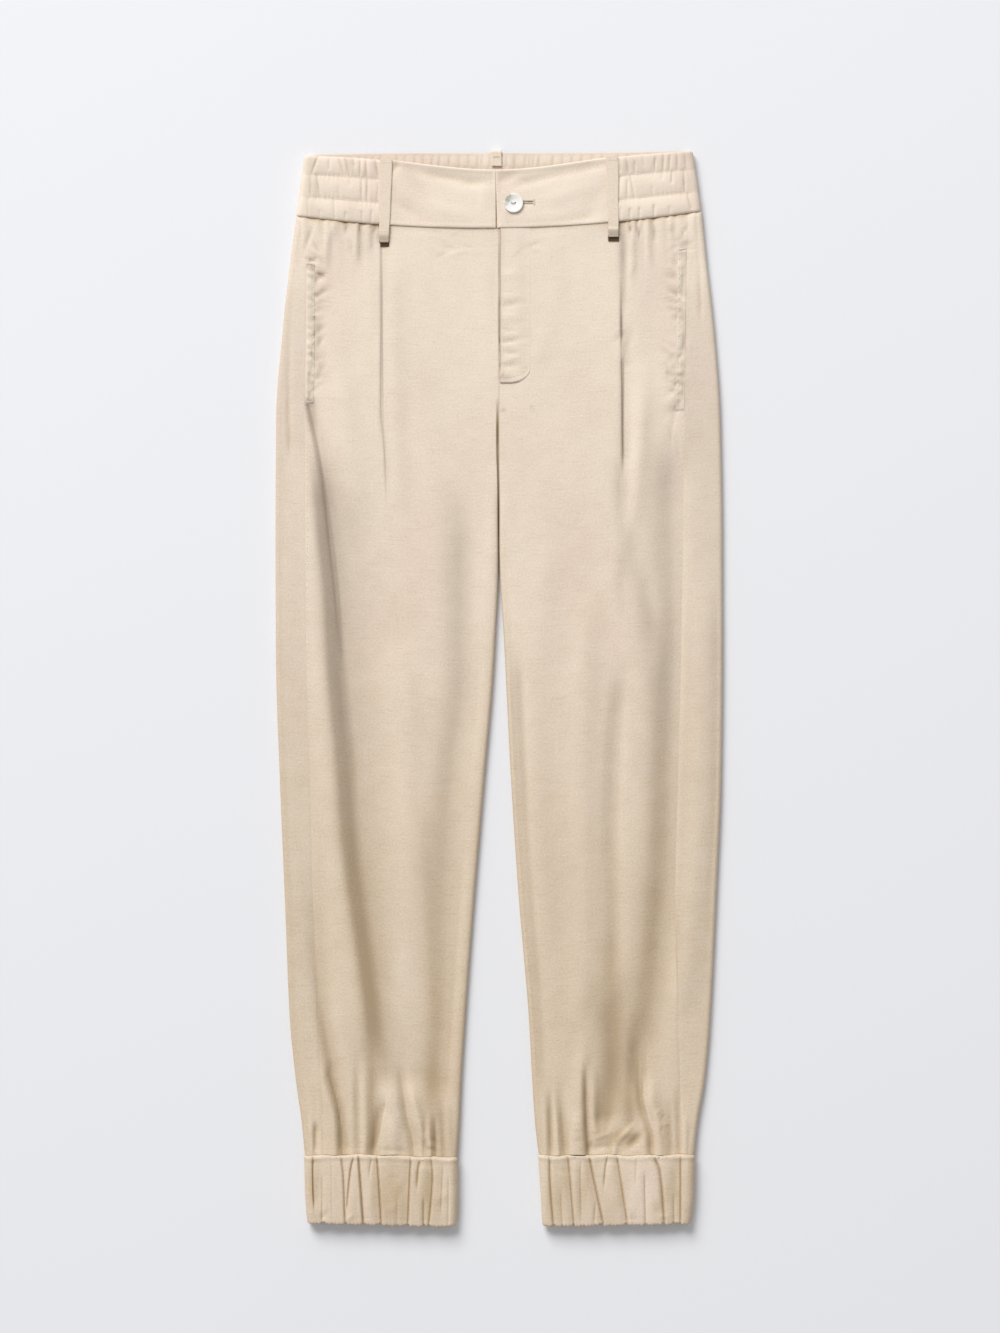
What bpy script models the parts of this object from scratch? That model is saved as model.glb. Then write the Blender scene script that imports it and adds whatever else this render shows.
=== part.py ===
# Linen trousers laid flat on their back: elasticated waist, fly front, side pockets, gathered cuffs.
# +X is the wearer's left, +Y is the waist end, +Z is up, and the cloth rests on z = 0.
# Sizes are in millimetres until a mesh is written.

import math
from collections import namedtuple

import bmesh
import bpy
import numpy as np

MM = 0.001
GAP = 0.3                       # clearance between two pieces

LENGTH = 968.0                  # from the back belt loop to the hem of the cuffs
WAIST_SEAM = 413.3              # height of the front waist seam above the middle of the length
SEAM_TILT = 0.012               # the seams rise a little towards the wearer's left
FRONT_SEAM_BOW = 0.0004         # the front waist seam curves up towards the sides
BACK_SEAM = 429.5
BACK_SEAM_BOW = -0.00009
BAND_TOP = 482.2                # upper edge of the waistband at the back
FRONT_DIP = 16.0                # how far the front edge of the waistband dips at the centre
FRONT_DIP_WIDTH = 100.0
BAND_HALF_LOW = 182.0           # half width of the waistband at its seam
BAND_TAPER = 0.135              # how much it narrows for each millimetre upwards
BAND_HEIGHT = 9.8               # top face of the waistband above the floor
BAND_WALL = 2.4
ELASTIC_WALL = 3.0
ELASTIC_END = 102.0             # where the elastic stretch ends, under the front belt loops
ELASTIC_HEIGHT = 9.4
GATHER_HEIGHT = 1.3
WAIST_GATHER_PITCH = 9.5
CUFF_GATHER_PITCH = 13.0
BAND_PITCH = 8.0
BAND_BACK_WAVES = 36
BAND_STITCH_ROWS = (0.31, 0.68)
UNDERLAP = 34.0                 # how far the waistband runs on under the buttonhole end
CUFF_SEAM = -420.0
CUFF_WALL = 4.4
CUFF_HEIGHT = 12.2
CUFF_HEM = -484.0
CROTCH = 167.0                  # fork of the two legs
CROTCH_BLEND = 24.0
SIDE_GUIDE = 178.0              # where a row's height at the side is taken
PLEAT_GUIDE = 120.0             # and at the pleat and the fold
BAND_SIDE = 175.0
EDGE_CLEAR = 5.0                # folds die out this far from a leg's rounded edges
FRONT_CLOTH = 2.0
BACK_CLOTH = 1.8
SEAM_BULK = 0.8                 # what gathering and seam allowance add to the cloth at both ends
SEAM_BULK_TOP = 424.0
SEAM_BULK_REACH = 14.0
PLEAT_STEP = 1.5
PLEAT_EDGE = 0.8                # half width of the pleat's folded edge
PLEAT_SPREAD = 26.0
PLEAT_END = 190.0
BACK_LOOP_LIFT = 1.7            # room for the back belt loop between the cloth and the floor

LOOP_WIDTH = 11.0
LOOP_CLOTH = 1.2
LOOP_BELOW_SEAM = 15.0
LOOP_FOLD = 8.0
LOOP_TOP_X = {"right": -101.7, "left": 101.4}
LOOP_LEAN = {"right": -1.8, "left": 1.6}
BACK_LOOP_X = -2.2
BACK_LOOP_INSIDE = 8.0          # how far the back loop comes over on to the inside
POCKET_TOP = {"right": 383.0, "left": 396.0}
POCKET_FOOT = {"right": 256.0, "left": 250.0}
POCKET_EDGE_WIDTH = 7.5
TRIM_CLOTH = 0.9
PUCKER = 0.35
PUCKER_PITCH = 9.0
FLY_WIDTH = 27.5
FLY_FOOT = 274.5
FLY_TURN = 14.0                 # height of the J-shaped turn at the fly's foot
ZIP_WIDTH = 20.0
ZIP_LENGTH = 126.0
BUTTON_X = 13.0
BUTTON_Y = 435.9
BUTTON_RADIUS = 9.0
BUTTON_HOLE_RADIUS = 0.85
BUTTON_HOLE_OFFSET = 1.5
BUTTON_RIM = 2.6
BUTTON_DISH = 1.7
BUTTON_STEPS = 32
HOLE_STEPS = 12
HOLE_DEPTH = 8.0
THREAD_RADIUS = 0.45
SLIT_START = 10.4
SLIT_END = 31.0
SLIT_WIDTH = 1.7

# one row for each section of a leg: distances from the centre line, and the height of its top face
Section = namedtuple("Section", "y outer seam fold pleat inner height")
LEGS = {
    "right": [
        Section(424, 182.0, 176.4, 150.0, 105.5, 0.2, 8.8),
        Section(385, 187.4, 173.6, 155.0, 105.3, 0.2, 7.6),
        Section(322, 194.4, 173.8, 160.0, 105.0, 0.2, 7.2),
        Section(242, 200.4, 174.6, 164.0, 104.0, 0.2, 7.2),
        Section(134, 201.0, 174.0, 155.5, 101.0, 0.2, 7.2),
        Section(26, 200.6, 173.2, 148.0, 92.0, 4.5, 7.3),
        Section(-82, 197.1, 170.0, 138.5, 84.0, 13.5, 7.4),
        Section(-190, 192.6, 167.6, 125.5, 79.0, 22.5, 7.4),
        Section(-298, 188.1, 163.0, 112.5, 78.0, 30.6, 7.6),
        Section(-352, 182.7, 160.4, 109.0, 78.0, 34.0, 8.0),
        Section(-390, 177.4, 159.4, 108.0, 78.0, 35.8, 8.8),
        Section(-420, 174.4, 159.3, 108.0, 78.0, 37.8, 9.8),
    ],
    "left": [
        Section(424, 182.6, 169.2, 140.0, 107.0, 0.2, 8.8),
        Section(385, 186.4, 168.6, 140.0, 107.4, 0.2, 7.6),
        Section(322, 193.4, 168.0, 142.0, 108.6, 0.2, 7.2),
        Section(242, 199.0, 167.0, 146.0, 111.5, 0.2, 7.2),
        Section(134, 200.8, 165.5, 148.0, 109.0, 0.2, 7.2),
        Section(26, 201.0, 163.8, 150.5, 104.0, 5.4, 7.3),
        Section(-82, 199.8, 161.0, 143.0, 98.0, 10.8, 7.4),
        Section(-190, 195.3, 158.6, 145.5, 94.0, 18.0, 7.4),
        Section(-298, 189.9, 160.6, 130.0, 90.0, 27.0, 7.6),
        Section(-352, 185.0, 162.4, 129.0, 88.0, 29.9, 8.0),
        Section(-390, 178.6, 163.2, 131.0, 86.0, 32.4, 8.8),
        Section(-420, 175.2, 163.8, 133.0, 86.0, 35.8, 9.8),
    ],
}

# one row for each soft fold of the cloth: it runs from y_top to y_end through three points,
# out and into are its widths towards the side and towards the centre, rise is up or down
Fold = namedtuple("Fold", "x_top y_top x_mid y_mid x_end y_end out into rise")
FOLDS = {
    "right": [
        Fold(168.0, 235, 142.0, -45, 108.5, -370, 8, 15, -2.0),
        Fold(184.0, 240, 158.0, -45, 124.0, -360, 10, 9, 1.0),
        Fold(85.0, 140, 80.0, -80, 76.0, -372, 16, 16, 0.9),
        Fold(34.0, 240, 42.0, 60, 56.0, -300, 10, 12, -1.0),
        Fold(148.0, -340, 146.0, -375, 144.0, -416, 4, 6, -1.6),
        Fold(94.0, -368, 96.0, -390, 100.0, -418, 9, 5, 2.2),
        Fold(76.0, -366, 80.0, -390, 84.0, -418, 4, 4, -1.6),
    ],
    "left": [
        Fold(148.0, 180, 146.0, -60, 129.0, -400, 8, 14, -1.9),
        Fold(128.0, 385, 132.0, 240, 128.0, 60, 14, 14, 1.0),
        Fold(98.0, 130, 97.0, -100, 92.0, -300, 14, 12, 0.9),
        Fold(16.0, 40, 20.0, -90, 28.0, -240, 8, 10, -1.0),
        Fold(112.0, -320, 108.0, -370, 104.0, -416, 14, 10, -1.9),
        Fold(71.0, -360, 71.0, -390, 71.0, -418, 5, 6, 2.0),
        Fold(126.0, -370, 124.0, -395, 118.0, -418, 6, 6, -1.6),
    ],
}

# one row for each crease of a cuff: its distance from the centre line at the seam and at the hem
Crease = namedtuple("Crease", "top hem depth")
CUFF_CREASES = {
    "right": [
        Crease(167.4, 165.0, 1.2), Crease(157.5, 155.0, 1.5), Crease(140.4, 139.0, 1.9),
        Crease(130.5, 126.0, 1.5), Crease(119.0, 115.5, 2.1), Crease(108.9, 107.0, 1.6),
        Crease(79.2, 76.0, 1.9), Crease(70.2, 68.0, 1.5), Crease(61.2, 60.0, 1.2), Crease(48.0, 49.0, 1.0),
    ],
    "left": [
        Crease(45.9, 48.6, 1.2), Crease(63.9, 67.5, 1.5), Crease(81.9, 94.5, 2.1),
        Crease(99.0, 102.6, 1.4), Crease(105.3, 115.2, 1.9), Crease(122.0, 127.0, 1.2),
        Crease(137.7, 149.4, 1.9), Crease(162.9, 164.0, 1.6),
    ],
}
Cuff = namedtuple("Cuff", "y inner outer")
CUFFS = {
    "right": [Cuff(-420, 37.8, 174.4), Cuff(-452, 37.6, 173.8), Cuff(-484, 38.4, 171.6)],
    "left": [Cuff(-420, 35.8, 175.2), Cuff(-452, 38.0, 174.6), Cuff(-484, 39.6, 172.0)],
}
BACK_CREASES = 10
BACK_CREASE_DEPTH = 1.0

LINEN = (0.745, 0.618, 0.492)
LINEN_SHADE = (0.700, 0.575, 0.455)
PEARL = (0.88, 0.86, 0.80)
THREAD = (0.80, 0.74, 0.66)


# ---- form of the garment ----

def smooth(table, column, y):
    """A curve through one column of a table, without overshoot, read at the heights y."""
    rows = sorted(table, key=lambda row: row.y)
    knots = np.array([row.y for row in rows], float)
    values = np.array([getattr(row, column) for row in rows], float)
    step = np.diff(knots)
    rate = np.diff(values) / step
    slopes = np.zeros(len(knots))
    same_way = rate[:-1] * rate[1:] > 0
    safe = np.where(same_way, rate[:-1] + rate[1:], 1.0)
    slopes[1:-1] = np.where(same_way, 2 * rate[:-1] * rate[1:] / safe, 0.0)
    slopes[0] = rate[0]
    slopes[-1] = rate[-1]
    y = np.clip(np.asarray(y, float), knots[0], knots[-1])
    i = np.clip(np.searchsorted(knots, y) - 1, 0, len(step) - 1)
    t = (y - knots[i]) / step[i]
    start = (1 + 2 * t) * (1 - t) ** 2 * values[i] + t * (1 - t) ** 2 * step[i] * slopes[i]
    end = t * t * (3 - 2 * t) * values[i + 1] + t * t * (t - 1) * step[i] * slopes[i + 1]
    return start + end


def ease(value, low, high):
    """0 below low, 1 above high, a smooth step between them."""
    t = np.clip((np.asarray(value, float) - low) / (high - low), 0, 1)
    return t * t * (3 - 2 * t)


def mix(a, b, t):
    return a + (b - a) * t


def sign_of(side):
    return -1.0 if side == "right" else 1.0


def front_seam_y(x):
    return WAIST_SEAM + SEAM_TILT * x + FRONT_SEAM_BOW * x * x


def back_seam_y(x):
    return BACK_SEAM + SEAM_TILT * x + BACK_SEAM_BOW * x * x


def front_top_y(x):
    return BAND_TOP + SEAM_TILT * x - FRONT_DIP * np.exp(-(x / FRONT_DIP_WIDTH) ** 2)


def back_top_y(x):
    return BAND_TOP + SEAM_TILT * x * (x / BAND_HALF_LOW) ** 2


def back_lift(x, y):
    """The cloth rises over the back belt loop, which lies between it and the floor."""
    across = 1 - ease(np.abs(x), 7.5, 20)
    along = ease(y, 385, 400)
    return BACK_LOOP_LIFT * across * along


def fold_rise(side, x, y):
    """Sum of the soft folds: each is a bell across its own path, faded out at both ends."""
    total = np.zeros(np.broadcast(x, y).shape)
    for fold in FOLDS[side]:
        ys = (fold.y_end, fold.y_mid, fold.y_top)
        xs = (fold.x_end, fold.x_mid, fold.x_top)
        path = np.interp(y, ys, xs)
        across = x - path
        width = np.where(across > 0, fold.out, fold.into)
        ends = ease(y, fold.y_end - 14, fold.y_end + 22) * (1 - ease(y, fold.y_top - 50, fold.y_top + 14))
        if fold.y_end < CUFF_SEAM + 5:
            ends = 1 - ease(y, fold.y_top - 18, fold.y_top + 6)
        total = total + fold.rise * np.exp(-(across / width) ** 2) * ends
    return total


def soft_top(side, x, y):
    """Height of the front's upper face without pleats and gathers."""
    outer = smooth(LEGS[side], "outer", y)
    inner = smooth(LEGS[side], "inner", y)
    height = smooth(LEGS[side], "height", y)
    off_side = ease(outer - x, EDGE_CLEAR, EDGE_CLEAR + 10)
    below_crotch = 1 - ease(y, CROTCH - CROTCH_BLEND, CROTCH + CROTCH_BLEND)
    off_centre = 1 - below_crotch * (1 - ease(x - inner, EDGE_CLEAR, EDGE_CLEAR + 10))
    return height + fold_rise(side, x, y) * off_side * off_centre


def gather_wave(x, pitch):
    """Uneven ridges from 0 to 1, about one for each pitch."""
    phase = 2 * math.pi * x / pitch
    return 0.5 + 0.5 * np.sin(phase + 0.9 * np.sin(0.37 * phase))


def front_top(side, x, y):
    """Upper face of the front: soft form, pleat under the belt loop, gathers at both ends."""
    below_waist = front_seam_y(sign_of(side) * x) - y
    above_cuff = y - CUFF_SEAM
    pleat = smooth(LEGS[side], "pleat", y)
    beside = x - pleat
    step = ease(beside, -PLEAT_EDGE, PLEAT_EDGE) * np.exp(-(np.maximum(beside, 0) / PLEAT_SPREAD) ** 2)
    pleated = PLEAT_STEP * step * ease(y, PLEAT_END, PLEAT_END + 120) * (1 - 0.6 * np.exp(-below_waist / 14))
    under_elastic = ease(x, 106, 114) * np.exp(-below_waist / 22)
    puffs = np.exp(-above_cuff / 26)
    gathers = under_elastic * gather_wave(x, WAIST_GATHER_PITCH)
    gathers = gathers + puffs * gather_wave(x + 3, CUFF_GATHER_PITCH)
    return soft_top(side, x, y) + pleated + GATHER_HEIGHT * gathers


def cloth_at(thickness, y):
    """Wall of a panel, thicker at the waist and cuff seams."""
    return thickness + SEAM_BULK * (np.exp(-(SEAM_BULK_TOP - y) / SEAM_BULK_REACH)
                                    + np.exp(-(y - CUFF_SEAM) / SEAM_BULK_REACH))


# ---- sections of the panels ----

def leg_rows():
    """Fractions of the length from the waist seam to the cuff seam, closer at both ends."""
    waist_end = [0.0, 0.011, 0.026, 0.05, 0.085]
    middle = list(np.linspace(0.13, 0.895, 16))
    cuff_end = [0.93, 0.955, 0.975, 0.989, 1.0]
    return waist_end + middle + cuff_end


def dense(row, rows):
    return row < 3 or row > len(rows) - 4


def row_y(seam_y, x, fraction):
    return mix(seam_y(x) - GAP / 2, CUFF_SEAM + GAP / 2, fraction)


def between(a, b, count):
    """count points from a to b, without the last."""
    return list(np.linspace(a, b, count, endpoint=False))


def inner_bend(half_height, amount, count):
    """Quarter turn at the leg's inner edge: sideways and downward steps and the turning angles."""
    strip = half_height * math.pi / 2
    angle = max(amount, 0.001) * math.pi / 2
    turns = np.linspace(0, 1, count + 1)[1:] * angle * (1 - GAP / 2 / strip)
    return strip / angle * np.sin(turns), strip / angle * (1 - np.cos(turns)), turns


def section_edges(side, fraction, seam_y):
    """Where the outer edge, the side seam, the guides and the inner edge lie on one row."""
    table = LEGS[side]
    sign = sign_of(side)
    at_side = row_y(front_seam_y, sign * SIDE_GUIDE, fraction)
    at_guides = row_y(front_seam_y, sign * PLEAT_GUIDE, fraction)
    at_centre = row_y(seam_y, 0.0, fraction)
    edges = {name: float(smooth(table, name, at_side)) for name in ("outer", "seam", "height")}
    edges.update({name: float(smooth(table, name, at_guides)) for name in ("fold", "pleat")})
    edges["inner"] = float(smooth(table, "inner", at_centre))
    edges["half"] = float(smooth(table, "height", at_centre)) / 2
    edges["bend"] = float(1 - ease(at_centre, CROTCH - CROTCH_BLEND, CROTCH + CROTCH_BLEND))
    return edges


def front_row(side, fraction, crowded):
    """Outer and inner points of a front panel from the side seam to the inner edge."""
    edges = section_edges(side, fraction, front_seam_y)
    sign = sign_of(side)
    steps, drops, turns = inner_bend(edges["half"], edges["bend"], 3)
    start = edges["inner"] + steps[-1]
    many = 3 if crowded else 1
    xs = between(edges["seam"] - GAP / 2, edges["fold"], 2 * many)
    xs += between(edges["fold"], edges["pleat"] + PLEAT_EDGE, 4 * many)
    xs += between(edges["pleat"] + PLEAT_EDGE, edges["pleat"] - PLEAT_EDGE, 1)
    below = fraction > 0.5
    xs += between(edges["pleat"] - PLEAT_EDGE, start, 6 * (many if below else 1)) + [start]
    xs = np.array(xs)
    ys = row_y(front_seam_y, sign * xs, fraction)
    soft = soft_top(side, xs, ys)
    top = front_top(side, xs, ys)
    wall = cloth_at(FRONT_CLOTH, ys)
    bend_y = row_y(front_seam_y, sign * (start - steps), fraction)
    outer = np.column_stack([sign * xs, ys, top])
    bent = np.column_stack([sign * (start - steps), bend_y, top[-1] - drops])
    inner = np.column_stack([sign * xs, ys, soft - wall])
    inner_x = start - steps + wall[-1] * np.sin(turns)
    bent_inner = np.column_stack([sign * inner_x, bend_y, soft[-1] - drops - wall[-1] * np.cos(turns)])
    return np.vstack([outer, bent]), np.vstack([inner, bent_inner])


def back_row(side, fraction, crowded):
    """Points of a back panel: inner edge, flat back, round the outer edge, on to the side seam."""
    edges = section_edges(side, fraction, back_seam_y)
    sign = sign_of(side)
    steps, rises, turns = inner_bend(edges["half"], edges["bend"], 3)
    start = edges["inner"] + steps[-1]
    radius = edges["height"] / 2
    side_x = edges["outer"] - radius
    count = 27 if crowded else 5
    flat_x = np.linspace(start, side_x, count + 1)
    flat_y = row_y(back_seam_y, sign * flat_x, fraction)
    from_cuff = flat_y - CUFF_SEAM
    from_waist = back_seam_y(sign * flat_x) - flat_y
    inside = ease(flat_x, start, start + 6) * (1 - ease(flat_x, side_x - 6, side_x))
    grooves = BACK_CREASE_DEPTH * inside * gather_wave(flat_x, CUFF_GATHER_PITCH)
    grooves = grooves * (np.exp(-from_cuff / 20) + np.exp(-from_waist / 16))
    lift = back_lift(flat_x, flat_y)
    wall = cloth_at(BACK_CLOTH, flat_y)
    bend_y = row_y(back_seam_y, sign * (start - steps), fraction)[::-1]
    bend_x = (start - steps)[::-1]
    bend_z = rises[::-1] + lift[0]
    turn = turns[::-1]
    angles = np.radians(np.linspace(-90, 90, 7))[1:]
    arc_x = side_x + radius * np.cos(angles)
    arc_z = radius + radius * np.sin(angles)
    up = (1 + np.sin(angles)) / 2
    low_y = row_y(back_seam_y, sign * arc_x, fraction)
    arc_y = mix(low_y, row_y(front_seam_y, sign * arc_x, fraction), up)
    top_x = np.linspace(side_x, edges["seam"] + GAP / 2, 4)[1:]
    top_y = row_y(front_seam_y, sign * top_x, fraction)
    soft = soft_top(side, top_x, top_y)
    top = front_top(side, top_x, top_y)
    side_wall = float(cloth_at(BACK_CLOTH, arc_y[0]))
    outer = np.vstack([
        np.column_stack([sign * bend_x, bend_y, bend_z]),
        np.column_stack([sign * flat_x, flat_y, lift + grooves]),
        np.column_stack([sign * arc_x, arc_y, arc_z]),
        np.column_stack([sign * top_x, top_y, top]),
    ])
    small = radius - side_wall
    inner = np.vstack([
        np.column_stack([sign * (bend_x + wall[0] * np.sin(turn)), bend_y, bend_z + wall[0] * np.cos(turn)]),
        np.column_stack([sign * flat_x, flat_y, lift + wall]),
        np.column_stack([sign * (side_x + small * np.cos(angles)), arc_y, radius + small * np.sin(angles)]),
        np.column_stack([sign * top_x, top_y, soft - cloth_at(BACK_CLOTH, top_y)]),
    ])
    return outer, inner


# ---- meshes ----

def travelled(points):
    """Fraction of a row's own length at each of its points."""
    steps = np.linalg.norm(np.diff(points, axis=0), axis=1)
    total = np.concatenate([[0], np.cumsum(steps)])
    return total / total[-1]


def zip_rows(bm, first, second):
    """Fill between two rows of vertices, whose numbers may differ."""
    if len(first) == len(second):
        for a, b, c, d in zip(first, first[1:], second[1:], second):
            corners = list(dict.fromkeys((a, b, c, d)))
            bm.faces.new(corners)
        return
    place_a = travelled(np.array([vert.co for vert in first]))
    place_b = travelled(np.array([vert.co for vert in second]))
    i = 0
    j = 0
    while i < len(first) - 1 or j < len(second) - 1:
        step_first = j == len(second) - 1
        if i < len(first) - 1 and j < len(second) - 1:
            step_first = place_a[i + 1] + place_a[i] < place_b[j + 1] + place_b[j]
        if step_first:
            bm.faces.new((first[i], first[i + 1], second[j]))
            i += 1
        else:
            bm.faces.new((first[i], second[j + 1], second[j]))
            j += 1


def add_rows(bm, rows):
    return [[bm.verts.new(point * MM) for point in row] for row in rows]


def finish_mesh(bm, name, material, smooth_angle=40):
    bmesh.ops.recalc_face_normals(bm, faces=bm.faces)
    mesh = bpy.data.meshes.new(name)
    bm.to_mesh(mesh)
    bm.free()
    mesh.shade_smooth()
    mesh.set_sharp_from_angle(angle=math.radians(smooth_angle))
    mesh.materials.append(material)
    piece = bpy.data.objects.new(name, mesh)
    bpy.context.scene.collection.objects.link(piece)
    return piece


def add_wall(name, outer_rows, inner_rows, material):
    """A cloth wall: two faces made of rows of points, closed round all four sides."""
    bm = bmesh.new()
    outer = add_rows(bm, outer_rows)
    inner = add_rows(bm, inner_rows)
    for face in (outer, inner):
        for first, second in zip(face, face[1:]):
            zip_rows(bm, first, second)
    zip_rows(bm, outer[0], inner[0])
    zip_rows(bm, outer[-1], inner[-1])
    for end in (0, -1):
        zip_rows(bm, [row[end] for row in outer], [row[end] for row in inner])
    return finish_mesh(bm, name, material)


def add_ring(name, outer_rows, inner_rows, material):
    """A closed tube of cloth: like a wall, with each row meeting its own start."""
    bm = bmesh.new()
    outer = [row + row[:1] for row in add_rows(bm, outer_rows)]
    inner = [row + row[:1] for row in add_rows(bm, inner_rows)]
    for face in (outer, inner):
        for first, second in zip(face, face[1:]):
            zip_rows(bm, first, second)
    zip_rows(bm, outer[0], inner[0])
    zip_rows(bm, outer[-1], inner[-1])
    return finish_mesh(bm, name, material)


def make_material(name, colour, roughness):
    material = bpy.data.materials.new(name)
    material.use_nodes = True
    shader = material.node_tree.nodes["Principled BSDF"]
    shader.inputs["Base Color"].default_value = (*colour, 1.0)
    shader.inputs["Roughness"].default_value = roughness
    shader.inputs["Metallic"].default_value = 0.0
    material.diffuse_color = (*colour, 1.0)
    return material


# ---- pieces ----

def add_front_panel(side, linen):
    rows = leg_rows()
    outer = []
    inner = []
    for index, fraction in enumerate(rows):
        outer.append(front_row(side, fraction, dense(index, rows))[0])
        inner.append(front_row(side, fraction, False)[1])
    return add_wall(f"front_panel_{side}", outer, inner, linen)


def add_back_panel(side, linen):
    rows = leg_rows()
    outer = []
    inner = []
    for index, fraction in enumerate(rows):
        outer.append(back_row(side, fraction, dense(index, rows))[0])
        inner.append(back_row(side, fraction, False)[1])
    return add_wall(f"back_panel_{side}", outer, inner, linen)


def band_half(y):
    return BAND_HALF_LOW - BAND_TAPER * (y - 425)


def channel_puff(fraction):
    """0 on the two rows of stitching and at both edges, 1 in the middle of each channel."""
    low, high = BAND_STITCH_ROWS
    for start, end in ((0, low), (low, high), (high, 1)):
        if start <= fraction <= end:
            return math.sin(math.pi * (fraction - start) / (end - start))
    return 0.0


def elastic_front(side, fraction, count):
    """Front end of the elastic stretch on one side, from the loop outwards, with its ridges."""
    sign = sign_of(side)
    side_y = mix(front_seam_y(sign * SIDE_GUIDE), front_top_y(sign * BAND_SIDE), fraction)
    edge = float(band_half(side_y)) - ELASTIC_HEIGHT / 2
    xs = np.linspace(ELASTIC_END + GAP / 2, edge, count)
    ys = mix(front_seam_y(sign * xs) + GAP / 2, front_top_y(sign * xs), fraction)
    puff = channel_puff(fraction)
    clear = ease(xs, ELASTIC_END + 7, ELASTIC_END + 12) * (1 - ease(xs, edge - 5, edge))
    ridges = GATHER_HEIGHT * gather_wave(xs, BAND_PITCH) * (0.35 + 0.65 * puff)
    return xs, ys, (0.7 * puff + ridges) * clear, edge


def band_back_row(fraction, front_count, back_count, relief):
    """Points once round the elastic stretch: front right, side, back, side, front left."""
    parts = []
    for side in ("right", "left"):
        sign = sign_of(side)
        xs, ys, rise, edge = elastic_front(side, fraction, front_count)
        radius = ELASTIC_HEIGHT / 2 if relief else ELASTIC_HEIGHT / 2 - ELASTIC_WALL
        top = ELASTIC_HEIGHT + rise if relief else np.full_like(xs, ELASTIC_HEIGHT - ELASTIC_WALL)
        front = np.column_stack([sign * xs, ys, top])
        angles = np.radians(np.linspace(90, -90, 7))[1:]
        arc_x = sign * (edge + radius * np.cos(angles))
        front_y = mix(front_seam_y(arc_x) + GAP / 2, front_top_y(arc_x), fraction)
        back_y = mix(back_seam_y(arc_x) + GAP / 2, back_top_y(arc_x), fraction)
        arc_y = mix(back_y, front_y, (1 + np.sin(angles)) / 2)
        arc = np.column_stack([arc_x, arc_y, ELASTIC_HEIGHT / 2 + radius * np.sin(angles)])
        parts.append(np.vstack([front, arc]))
    first, last = parts[0], parts[1][::-1]
    xs = np.linspace(first[-1][0], last[0][0], back_count + 1)[1:-1]
    ys = mix(back_seam_y(xs) + GAP / 2, back_top_y(xs), fraction)
    lift = back_lift(xs, ys)
    valley = np.arange(1, back_count) % 2
    clear = 1 - ease(np.abs(xs), 160, 172)
    groove = 0.9 * valley * clear * (0.5 + 0.5 * channel_puff(fraction))
    height = lift + groove if relief else lift + ELASTIC_WALL
    return np.vstack([first, np.column_stack([xs, ys, height]), last])


def add_waistband_back(linen):
    fractions = (0, 0.15, 0.31, 0.5, 0.68, 0.84, 1)
    outer = [band_back_row(fraction, 37, 2 * BAND_BACK_WAVES, True) for fraction in fractions]
    inner = [band_back_row(fraction, 6, 18, False) for fraction in (0, 0.5, 1)]
    return add_wall("waistband_back", outer, inner, linen)


def band_grid(xs, top, wall):
    """Rows of a flat stretch of the waistband, with the given height and wall at each x."""
    outer = []
    inner = []
    for fraction in (0, 0.33, 0.67, 1):
        ys = mix(front_seam_y(xs) + GAP / 2, front_top_y(xs), fraction)
        outer.append(np.column_stack([xs, ys, top]))
        inner.append(np.column_stack([xs, ys, top - wall]))
    return outer, inner


def add_waistband_fronts(linen):
    """The wearer's right end runs on under the left one, which holds the buttonhole."""
    end = ELASTIC_END - GAP / 2
    lap = -1.8
    under = BAND_HEIGHT - BAND_WALL - GAP
    xs = np.array(between(-end, lap - 5.2, 7) + [lap - 5.2, lap - 2.6, lap - GAP, 16.0, UNDERLAP])
    top = np.where(xs < lap - 4, BAND_HEIGHT, under)
    top[xs == lap - 2.6] = mix(BAND_HEIGHT, under, 0.5)
    wall = np.where(xs < lap - 4, BAND_WALL, 2.0)
    add_wall("waistband_front_right", *band_grid(xs, top, wall), linen)
    xs = np.linspace(lap, end, 9)
    flat = np.full_like(xs, BAND_HEIGHT)
    band = add_wall("waistband_front_left", *band_grid(xs, flat, np.full_like(xs, BAND_WALL)), linen)
    slit_size = (SLIT_END - SLIT_START, SLIT_WIDTH, 8)
    slit = add_box("buttonhole_cutter", slit_size, ((SLIT_START + SLIT_END) / 2, BUTTON_Y, BAND_HEIGHT - 1))
    slit.hide_render = True
    slit.display_type = "WIRE"
    cut = band.modifiers.new("buttonhole", "BOOLEAN")
    cut.operation = "DIFFERENCE"
    cut.object = slit


def add_box(name, size, centre):
    mesh = bpy.data.meshes.new(name)
    bm = bmesh.new()
    bmesh.ops.create_cube(bm, size=1)
    for vert in bm.verts:
        vert.co = [(c + v * s) * MM for c, v, s in zip(centre, vert.co, size)]
    bm.to_mesh(mesh)
    bm.free()
    box = bpy.data.objects.new(name, mesh)
    bpy.context.scene.collection.objects.link(box)
    return box


def strap(name, route, centre_x, linen):
    """A flat strap: a route of (y, z) points at the middle of its cloth, swept across its width."""
    route = np.array(route, float)
    along = np.gradient(route, axis=0)
    along /= np.linalg.norm(along, axis=1)[:, None]
    normal = np.column_stack([-along[:, 1], along[:, 0]]) * LOOP_CLOTH / 2
    outer = []
    inner = []
    for point, offset, x in zip(route, normal, centre_x):
        across = x + np.array([-0.5, 0.5]) * LOOP_WIDTH
        outer.append(np.array([[a, *(point + offset)] for a in across]))
        inner.append(np.array([[a, *(point - offset)] for a in across]))
    return add_wall(name, outer, inner, linen)


def turn_points(centre_y, centre_z, radius, start, end, count):
    angles = np.radians(np.linspace(start, end, count))
    return [(centre_y + radius * math.cos(a), centre_z + radius * math.sin(a)) for a in angles]


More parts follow.
